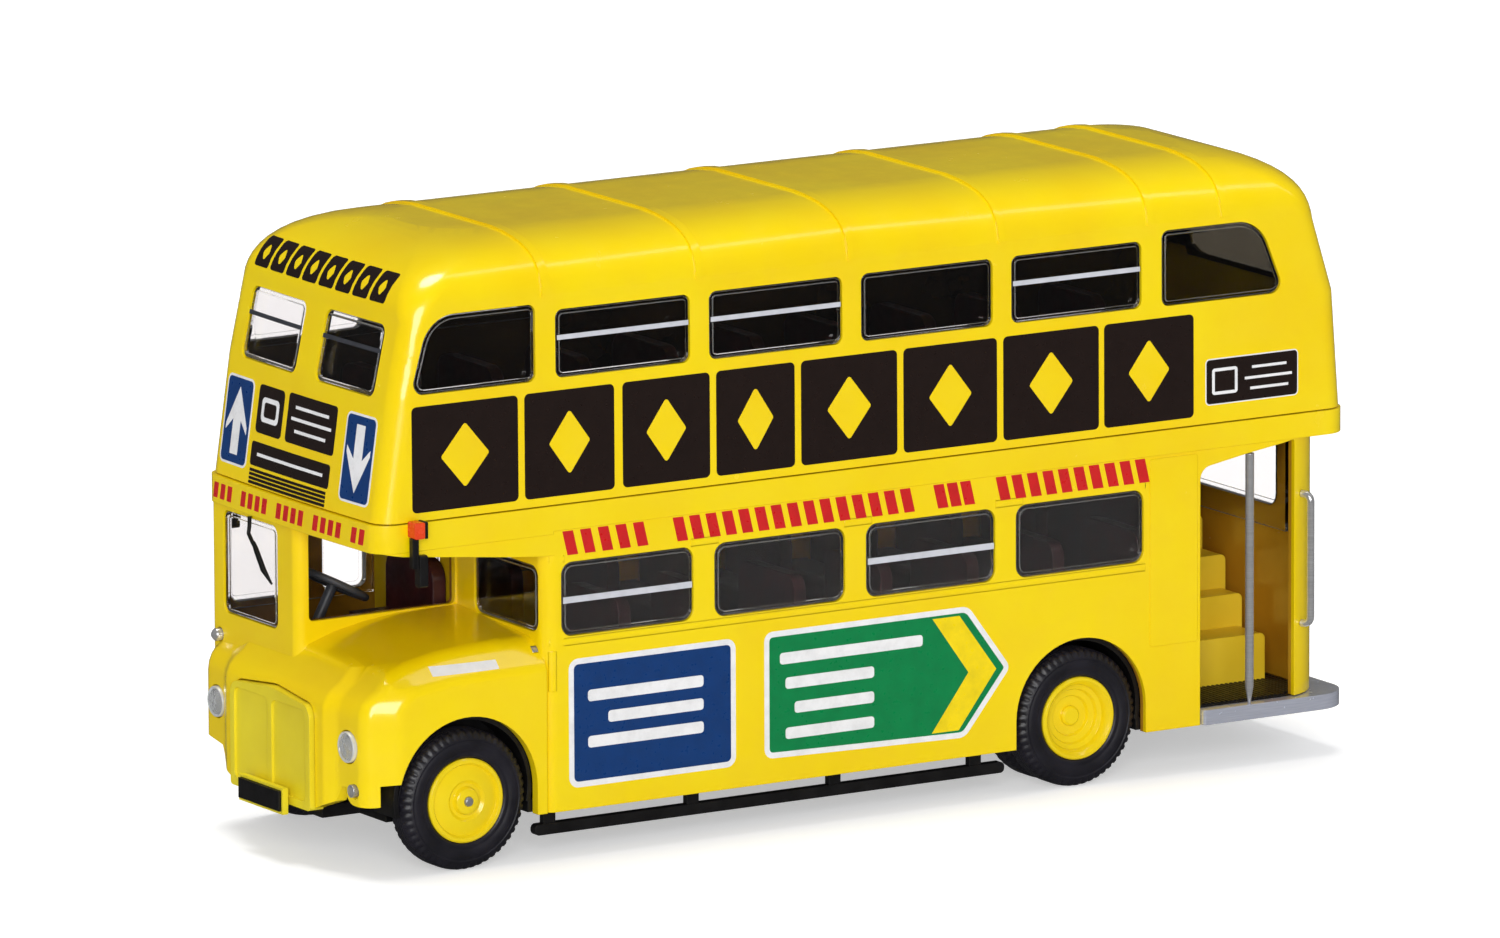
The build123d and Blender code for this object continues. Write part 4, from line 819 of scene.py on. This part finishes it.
def front_livery():
    lay = printer(on_end(CASTINGS, 1), FRONT_PITCH)
    for tag, (u0, u1, v0, v1, way) in FRONT_SIGNS.items():
        plate = box_outline(u0, u1, v0, v1, FRONT_SIGN_R)
        lay("front_sign_edge_" + tag, [[plate]], "white", 0)
        lay("front_sign_" + tag, [[inset(plate, FRONT_SIGN_BORDER)]], "blue", 1)
        lay("front_arrow_" + tag, [[arrow((u0 + u1) / 2, v0, v1, way)]], "white", 2)
    for tag, board in FRONT_BOARDS.items():
        lay("front_board_" + tag, [[box_outline(*board)]], "black", 0)
    marks = [boxes(FRONT_NUMBER)] + [bar(*row, FRONT_LINE_HALF) for row in FRONT_LINES]
    lay("front_board_marks", marks, "white", 1)
    slots = [VENT_Z + VENT_PITCH * k for k in range(VENT_COUNT)]
    lay("front_vent", [[box_outline(*VENT_Y, z, z + VENT_SLOT, 0.05, 2)] for z in slots], "black", 0)
    kept = [d for i, d in enumerate(dashes(*FRONT_DASHES)) if i % FRONT_DASH_RUN != FRONT_DASH_GAP]
    lay("dashes_front", kept, "red", 0)
    starts = [DOME_BLOCK_Y + DOME_BLOCK_PITCH * k for k in range(DOME_BLOCK_COUNT)]
    blocks = [pierced_block(y, y + DOME_BLOCK_WIDTH, *DOME_BLOCK_Z, DOME_BLOCK_R) for y in starts]
    lay("blocks_front", blocks, "black", 0, pitch=FINE_PITCH)
    lay = printer(on_side(CASTINGS, 1), FINE_PITCH)
    lay("bonnet_label_left", [[[Vector(p) for p in BONNET_LABEL]]], "white", 0)


for side in SIDES:
    side_livery(*side)
front_livery()

# ---- windows ----
LOWER_ROW = {"front": 32.4, "rear": -32.05, "pillar": 2.28, "z": (21.05, 28.1), "r": 1.2}
UPPER_ROW = {"front": 32.8, "rear": -31.85, "pillar": 2.06, "z": (45.55, 52.0), "r": 0.8}
ROW_COUNT = 4
FRONT_QUARTER = [(34.95, 45.45, 0.8), (48.4, 45.45, 1.1), (46.35, 52.75, 3.6), (34.95, 52.75, 0.8)]
REAR_QUARTER = [(-34.1, 45.45, 0.8), (-48.1, 45.45, 1.1), (-45.2, 52.75, 3.8), (-34.1, 52.75, 0.8)]
QUARTER_STEPS = 8
UPPER_FRONT = [(1.8, 12.2, 44.9, 51.6, 0.9), (-12.2, -1.8, 44.9, 51.6, 0.9)]
UPPER_REAR = [(-8.0, 8.0, 45.4, 51.4, 1.6)]
WINDSCREEN = [(-13.5, -3.4, 20.5, 30.3, 0.9)]
BULKHEAD = [(3.3, 14.85, 21.45, 27.75, 1.1), (-12.5, -3.0, 21.7, 27.6, 0.8)]
PLATFORM_PANE = [(-7.9, 7.65, 22.7, 29.9, 1.4)]
CAB_SIDE = [(42.3, 49.2, 20.9, 29.9, 0.9), (35.2, 40.0, 20.9, 29.9, 0.9)]
PANE_GAP = 0.13
# Rings of a raised pane: in from the pane's edge, height over it.
PANE_RINGS = [(0.0, -0.02), (0.0, 0.04), (0.05, 0.07), (0.26, 0.08), (0.31, 0.11), (0.36, 0.17), (0.46, 0.2)]
PANE_TOP = PANE_RINGS[-1][1]
RAIL_LIFT, RAIL_SINK = PANE_TOP + 0.03, -PANE_TOP + 0.02
RAIL_END = 0.2  # short of the pane's edge
# Rails of the opening windows on each deck: row, its windows with a rail, height, half thickness.
RAILS = {"lower": (LOWER_ROW, (0, 2), 24.5, 0.3), "upper": (UPPER_ROW, (0, 1, 3), 49.35, 0.23)}
FRONT_RAIL_Z = (48.9, 49.3)


def row_windows(row):
    pitch = (row["front"] - row["rear"] + row["pillar"]) / ROW_COUNT
    width = pitch - row["pillar"]
    fronts = [row["front"] - i * pitch for i in range(ROW_COUNT)]
    return [(front - width, front, *row["z"], row["r"]) for front in fronts]


def raised_panes(name, outlines, place, finish=GLASS):
    """The thick middle of each moulded pane, with its stepped edge."""
    points, faces = [], []
    for outline in outlines:
        start = len(points)
        count = len(outline)
        for amount, height in PANE_RINGS:
            for p in inset(outline, PANE_GAP + amount):
                hit, normal = place(p.x, p.y)
                points.append(hit + normal * height)
        top = start + (len(PANE_RINGS) - 1) * count
        for a in range(start, top, count):
            faces += between(a, a + count, count)
        faces.append([start + i for i in reversed(range(count))])
        flat = [Vector((p.x, p.y, 0)) for p in inset(outline, PANE_GAP + PANE_RINGS[-1][0])]
        faces += [[top + i for i in tri] for tri in tessellate_polygon([flat])]
    return piece(name, points, faces, finish, smooth=False)


def end_panes(name, node_name, sign, table, finish=GLASS):
    raised_panes(name, boxes(table), on_end(tree_of(node_name), sign), finish)


def make_panes():
    for tag, sign in SIDES:
        lower = boxes(row_windows(LOWER_ROW))
        place = on_side(tree_of("lower_glazing_" + tag), sign)
        raised_panes("lower_panes_" + tag, lower, place, LOWER_GLASS)
        upper = boxes(row_windows(UPPER_ROW)) + [arc_outline(FRONT_QUARTER, QUARTER_STEPS)]
        place = on_side(tree_of("upper_glazing_" + tag), sign)
        raised_panes("upper_panes_" + tag, upper, place)
        quarter = arc_outline(REAR_QUARTER, QUARTER_STEPS)
        raised_panes("upper_quarter_pane_" + tag, [quarter], place, SMOKED_GLASS)
    end_panes("upper_front_panes", "upper_glazing_front", 1, UPPER_FRONT)
    end_panes("upper_rear_pane", "upper_glazing_rear", -1, UPPER_REAR, DARK_GLASS)
    end_panes("windscreen_pane", "windscreen", 1, WINDSCREEN)
    end_panes("bulkhead_panes", "bulkhead_glazing", 1, BULKHEAD)
    end_panes("platform_rear_pane", "platform_rear_glazing", -1, PLATFORM_PANE)
    raised_panes("cab_side_panes", boxes(CAB_SIDE), on_side(tree_of("cab_side_glazing"), -1))


def make_rails():
    """The printed rails of the opening windows."""
    for tag, sign in SIDES:
        for deck, (row, which, z, half) in RAILS.items():
            windows = [row_windows(row)[i] for i in which]
            rails = [bar(box[0] + RAIL_END, box[1] - RAIL_END, z, half) for box in windows]
            place = on_side(tree_of(f"{deck}_glazing_{tag}"), sign)
            film(f"{deck}_window_rails_{tag}", rails, place, RAIL, RAIL_LIFT, RAIL_SINK, pitch=3.0)
    rails = [[box_outline(box[0] + RAIL_END, box[1] - RAIL_END, *FRONT_RAIL_Z)] for box in UPPER_FRONT]
    film("front_window_rails", rails, on_end(tree_of("upper_glazing_front"), 1), GREY, RAIL_LIFT, RAIL_SINK)


make_panes()
make_rails()

# ---- beading on the castings ----
# Across and up, in shares of the bead's half width and height.
BEAD_SECTION = [(-1.0, -0.04), (-0.8, 0.2), (-0.45, 0.75), (0.0, 1.0), (0.45, 0.75), (0.8, 0.2), (1.0, -0.04)]
BEAD_HALF, BEAD_HEIGHT, BEAD_STEP = 0.4, 0.08, 1.5
SIDE_BEADS = [[(33.6, 28.45), (-32.2, 28.45)], [(33.6, 20.55), (-32.2, 20.55)], [(33.3, 19.8), (33.3, 16.0)]]
REAR_PANEL, REAR_PANEL_LIFT = (-38.1, -32.7, 12.75, 30.9, 0.3), 0.07


def bead_row(place, at, along):
    """One section of a bead, or None where it misses the casting."""
    across = Vector((-along.y, along.x))
    row = []
    for share, height in BEAD_SECTION:
        p = at + across * share * BEAD_HALF
        found = place(p.x, p.y)
        if found is None:
            return None
        row.append(found[0] + found[1] * height * BEAD_HEIGHT)
    return row


def beads(name, paths, place):
    """Soft raised lines cast into the surface. paths are pairs of u, v points."""
    points, faces = [], []
    count = len(BEAD_SECTION)
    for a, b in paths:
        a, b = Vector(a), Vector(b)
        steps = max(1, int((b - a).length / BEAD_STEP))
        along = (b - a).normalized()
        previous = None
        for row in [bead_row(place, a.lerp(b, k / steps), along) for k in range(steps + 1)] + [None]:
            if row is None:
                if previous is not None:
                    faces.append([previous + i for i in range(count)])
                previous = None
                continue
            start = len(points)
            points += row
            if previous is None:
                faces.append([start + i for i in reversed(range(count))])
            else:
                faces += between(previous, start, count)
            previous = start
    return piece(name, points, faces, PAINT)


def make_beads():
    for tag, sign in SIDES:
        place = on_side(CASTINGS, sign)
        beads("side_beads_" + tag, SIDE_BEADS, place)
        film("rear_panel_" + tag, [[box_outline(*REAR_PANEL)]], place, PAINT, REAR_PANEL_LIFT, pitch=4.0)


make_beads()

# ---- tyres ----
# Half of a tyre's section: radius, distance in from its outer face.
TYRE_HALF = [
    (4.0, 0.32), (4.12, 0.12), (4.35, 0.03), (4.5, 0.07), (4.62, 0.07), (4.72, 0.0), (5.2, -0.02), (5.5, 0.0),
    (5.58, 0.05), (5.66, 0.05), (5.74, 0.0), (5.95, 0.07), (6.12, 0.16), (6.3, 0.27), (6.46, 0.4),
    (6.56, 0.55), (6.62, 0.72), (6.64, 0.9), (6.64, 1.02), (6.52, 1.04), (6.52, 1.16), (6.64, 1.18),
    (6.64, 1.42), (6.52, 1.44), (6.52, 1.56), (6.64, 1.58),
]
LUG_BAND, LUG_REACH = (6.12, 6.63), 0.8  # the notched shoulder: radii, distance in from either face
LUG_DEPTH = 0.17
LUG_COUNT = 52
LUG_SHARE = (0, 0, 0, 1, 1)  # one lug and one notch round the tread


def tyre(points, faces, x, y_face, side):
    """Adds one tyre with notched shoulders and grooves round its tread."""
    section = TYRE_HALF + [(r, TYRE_W - d) for r, d in reversed(TYRE_HALF)]
    steps = LUG_COUNT * len(LUG_SHARE)
    start = len(points)
    rows = len(section)
    for i in range(steps):
        angle = 2 * math.pi * i / steps
        notch = LUG_SHARE[i % len(LUG_SHARE)]
        for r, d in section:
            if notch and LUG_BAND[0] <= r <= LUG_BAND[1] and (d < LUG_REACH or d > TYRE_W - LUG_REACH):
                r -= LUG_DEPTH
            points.append((x + r * math.sin(angle), side * (y_face - d), AXLE_Z + r * math.cos(angle)))
    for i in range(steps):
        faces += between(start + i * rows, start + (i + 1) % steps * rows, rows)


def make_tyres():
    inner = WHEEL_FACE_Y - TYRE_W - TWIN_GAP
    wheels = (("front_tyre_", "front_axle", FRONT_AXLE_X, (WHEEL_FACE_Y,)),
              ("rear_tyres_", "rear_axle", REAR_AXLE_X, (WHEEL_FACE_Y, inner)))
    for tag, side in SIDES:
        for name, body, x, y_faces in wheels:
            points, faces = [], []
            for y_face in y_faces:
                tyre(points, faces, x, y_face, side)
            obj = piece("treaded_" + name + tag, points, faces, TYRE, body)
            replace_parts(obj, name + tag)


make_tyres()

# ---- lamps ----
TURNED_STEPS = 48
ON_AXIS = 1e-6
# Sections of the lamps: radius, distance along x.
HEADLAMP_LENS = [(0.0, 0.42), (0.35, 0.40), (0.7, 0.34), (1.0, 0.22), (1.2, 0.06), (1.25, -0.2), (0.0, -0.2)]
HEADLAMP_BOWL = [(0.0, -0.62), (0.5, -0.55), (0.9, -0.38), (1.22, -0.1), (1.3, 0.06), (1.38, 0.12),
                 (1.46, 0.06), (1.48, -0.1), (1.48, -0.7), (0.0, -0.7)]
FOG_LAMP = [(0.0, 0.16), (0.3, 0.12), (0.44, 0.02), (0.5, 0.1), (0.6, 0.06), (0.62, -0.05), (0.62, -1.4),
            (0.0, -1.4)]
SIDE_LAMP = [(0.0, 0.3), (0.28, 0.25), (0.46, 0.1), (0.55, 0.0), (0.6, -0.1), (0.6, -0.8), (0.0, -0.8)]
REAR_LAMP = [(0.0, -0.35), (0.4, -0.32), (0.7, -0.2), (0.8, 0.0), (0.9, 0.02), (0.9, 0.5), (0.0, 0.5)]
HEADLAMP_X, HEADLAMP_Y, HEADLAMP_Z = 53.3, 12.1, 12.35
FOG_LAMP_AT = (53.2, 12.75, 8.3)
SIDE_LAMPS_AT = {"left": (34.75, 14.15, 19.5), "right": (52.05, -14.35, 18.2)}
REAR_LAMP_X, REAR_LAMP_Y, REAR_LAMP_Z = -54.45, 9.0, 12.6


def turned(name, at, section, finish):
    """A form turned about an axis along x."""
    x, y, z = at
    points, faces = [], []
    rows = len(section)
    for i in range(TURNED_STEPS):
        angle = 2 * math.pi * i / TURNED_STEPS
        points += [(x + along, y + r * math.cos(angle), z + r * math.sin(angle)) for r, along in section]
    for i in range(TURNED_STEPS):
        a, b = i * rows, (i + 1) % TURNED_STEPS * rows
        for k in range(rows - 1):
            if section[k][0] < ON_AXIS:
                faces.append([a + k, a + k + 1, b + k + 1])
            elif section[k + 1][0] < ON_AXIS:
                faces.append([a + k, a + k + 1, b + k])
            else:
                faces.append([a + k, a + k + 1, b + k + 1, b + k])
    obj = piece(name, points, faces, finish)
    mend(obj.data, weld=True)
    return obj


def make_lamps():
    for tag, side in SIDES:
        at = (HEADLAMP_X, side * HEADLAMP_Y, HEADLAMP_Z)
        turned("headlamp_lens_" + tag, at, HEADLAMP_LENS, LENS_CLEAR)
        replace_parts(turned("headlamp_bowl_" + tag, at, HEADLAMP_BOWL, REFLECTOR), "headlamp_" + tag)
    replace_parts(turned("fog_lamp_lens", FOG_LAMP_AT, FOG_LAMP, CHROME), "fog_lamp")
    for tag, at in SIDE_LAMPS_AT.items():
        bead = turned("side_lamp_bead_" + tag, at, SIDE_LAMP, CHROME)
        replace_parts(bead, "side_lamp_" + tag)
    for tag, side in SIDES:
        at = (REAR_LAMP_X, side * REAR_LAMP_Y, REAR_LAMP_Z)
        lamp = turned("rear_lamp_lens_" + tag, at, REAR_LAMP, LENS_RED)
        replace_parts(lamp, "rear_lamp_" + tag)


make_lamps()

# ---- mat, wiper and backs of the indicators ----
CHAMFER_SHARE = 0.22  # of a bar's width
DOOR_REAR_X = -49.35
# The mat's corner ahead of the doorway's rear edge and behind it: x where it starts, radius, edge's y.
MAT_CORNER_AHEAD, MAT_CORNER_BEHIND = (-48.15, 5.5, 15.15), (-47.45, 5.5, 14.95)
MAT_RIB_FIRST, MAT_RIB_LAST, MAT_RIB_PITCH, MAT_RIB_HALF = -39.4, -52.8, 0.52, 0.17
MAT_OFFSIDE_Y, MAT_RIB_END = -12.7, 0.15
MAT_RIB_Z = (6.05, 6.24)
WIPER_FIXED_X, WIPER_X = 51.72, 51.82
WIPER_ARM = [(-8.2, 28.9), (-7.5, 28.2), (-6.9, 27.7)]  # y, z
WIPER_BLADE = [(-7.25, 28.3), (-6.9, 27.7), (-5.5, 25.9), (-3.95, 24.8)]
WIPER_ARM_R, WIPER_BLADE_R = 0.2, [0.12, 0.26, 0.28, 0.1]
ROD_STEPS = 8
INDICATOR_BACK_X, INDICATOR_BACK_Y, INDICATOR_BACK_Z = (47.5, 47.78), (16.17, 17.47), (32.3, 33.87)


def chamfered(name, bars):
    """Black bars with chamfered tops: x, y and z limits of each."""
    points, faces = [], []
    for x0, x1, y0, y1, z0, z1 in bars:
        cut = min(x1 - x0, y1 - y0) * CHAMFER_SHARE
        start = len(points)
        for z, inward in ((z0, 0.0), (z1 - cut, 0.0), (z1, cut)):
            points += [(x0 + inward, y0 + inward, z), (x1 - inward, y0 + inward, z),
                       (x1 - inward, y1 - inward, z), (x0 + inward, y1 - inward, z)]
        for a in (start, start + 4):
            faces += between(a, a + 4, 4)
        faces += [[start + 3, start + 2, start + 1, start], [start + 8, start + 9, start + 10, start + 11]]
    return piece(name, points, faces, BLACK, smooth=False)


def mat_edge(x):
    """The nearside edge of the mat, which turns in round the rear corner."""
    corner_x, r, edge = MAT_CORNER_AHEAD if x > DOOR_REAR_X else MAT_CORNER_BEHIND
    if x > corner_x:
        return edge
    return edge - r + math.sqrt(max(0.0, r * r - (corner_x - x) ** 2))


def make_mat():
    ribs = []
    x = MAT_RIB_FIRST
    while x > MAT_RIB_LAST:
        rear = x - MAT_RIB_HALF
        ribs.append((rear, x + MAT_RIB_HALF, MAT_OFFSIDE_Y, mat_edge(rear) - MAT_RIB_END, *MAT_RIB_Z))
        x -= MAT_RIB_PITCH
    chamfered("mat_ribs", ribs)


def rod(name, path, radii):
    """A round black rod along straight runs."""
    points, faces = [], []
    path = [Vector(p) for p in path]
    angles = [2 * math.pi * k / ROD_STEPS for k in range(ROD_STEPS)]
    for i, (p, r) in enumerate(zip(path, radii)):
        ahead = (path[min(i + 1, len(path) - 1)] - path[max(i - 1, 0)]).normalized()
        side = ahead.cross(Vector((1, 0, 0))).normalized()
        other = ahead.cross(side)
        points += [p + (side * math.cos(t) + other * math.sin(t)) * r for t in angles]
    for a in range(0, len(points) - ROD_STEPS, ROD_STEPS):
        faces += between(a, a + ROD_STEPS, ROD_STEPS)
    faces += [list(range(ROD_STEPS)), list(reversed(range(len(points) - ROD_STEPS, len(points))))]
    return piece(name, points, faces, BLACK)


def make_wiper():
    fixed = [(WIPER_FIXED_X, -8.15, 30.5), (WIPER_FIXED_X, -8.2, 29.6)]
    arm = fixed + [(WIPER_X, y, z) for y, z in WIPER_ARM]
    rod("wiper_arm", arm, [WIPER_ARM_R] * len(arm))
    rod("wiper_blade", [(WIPER_X, y, z) for y, z in WIPER_BLADE], WIPER_BLADE_R)


def make_indicator_backs():
    for tag, side in SIDES:
        y0, y1 = sorted(side * y for y in INDICATOR_BACK_Y)
        chamfered("indicator_back_" + tag, [(*INDICATOR_BACK_X, y0, y1, *INDICATOR_BACK_Z)])


make_mat()
make_wiper()
make_indicator_backs()
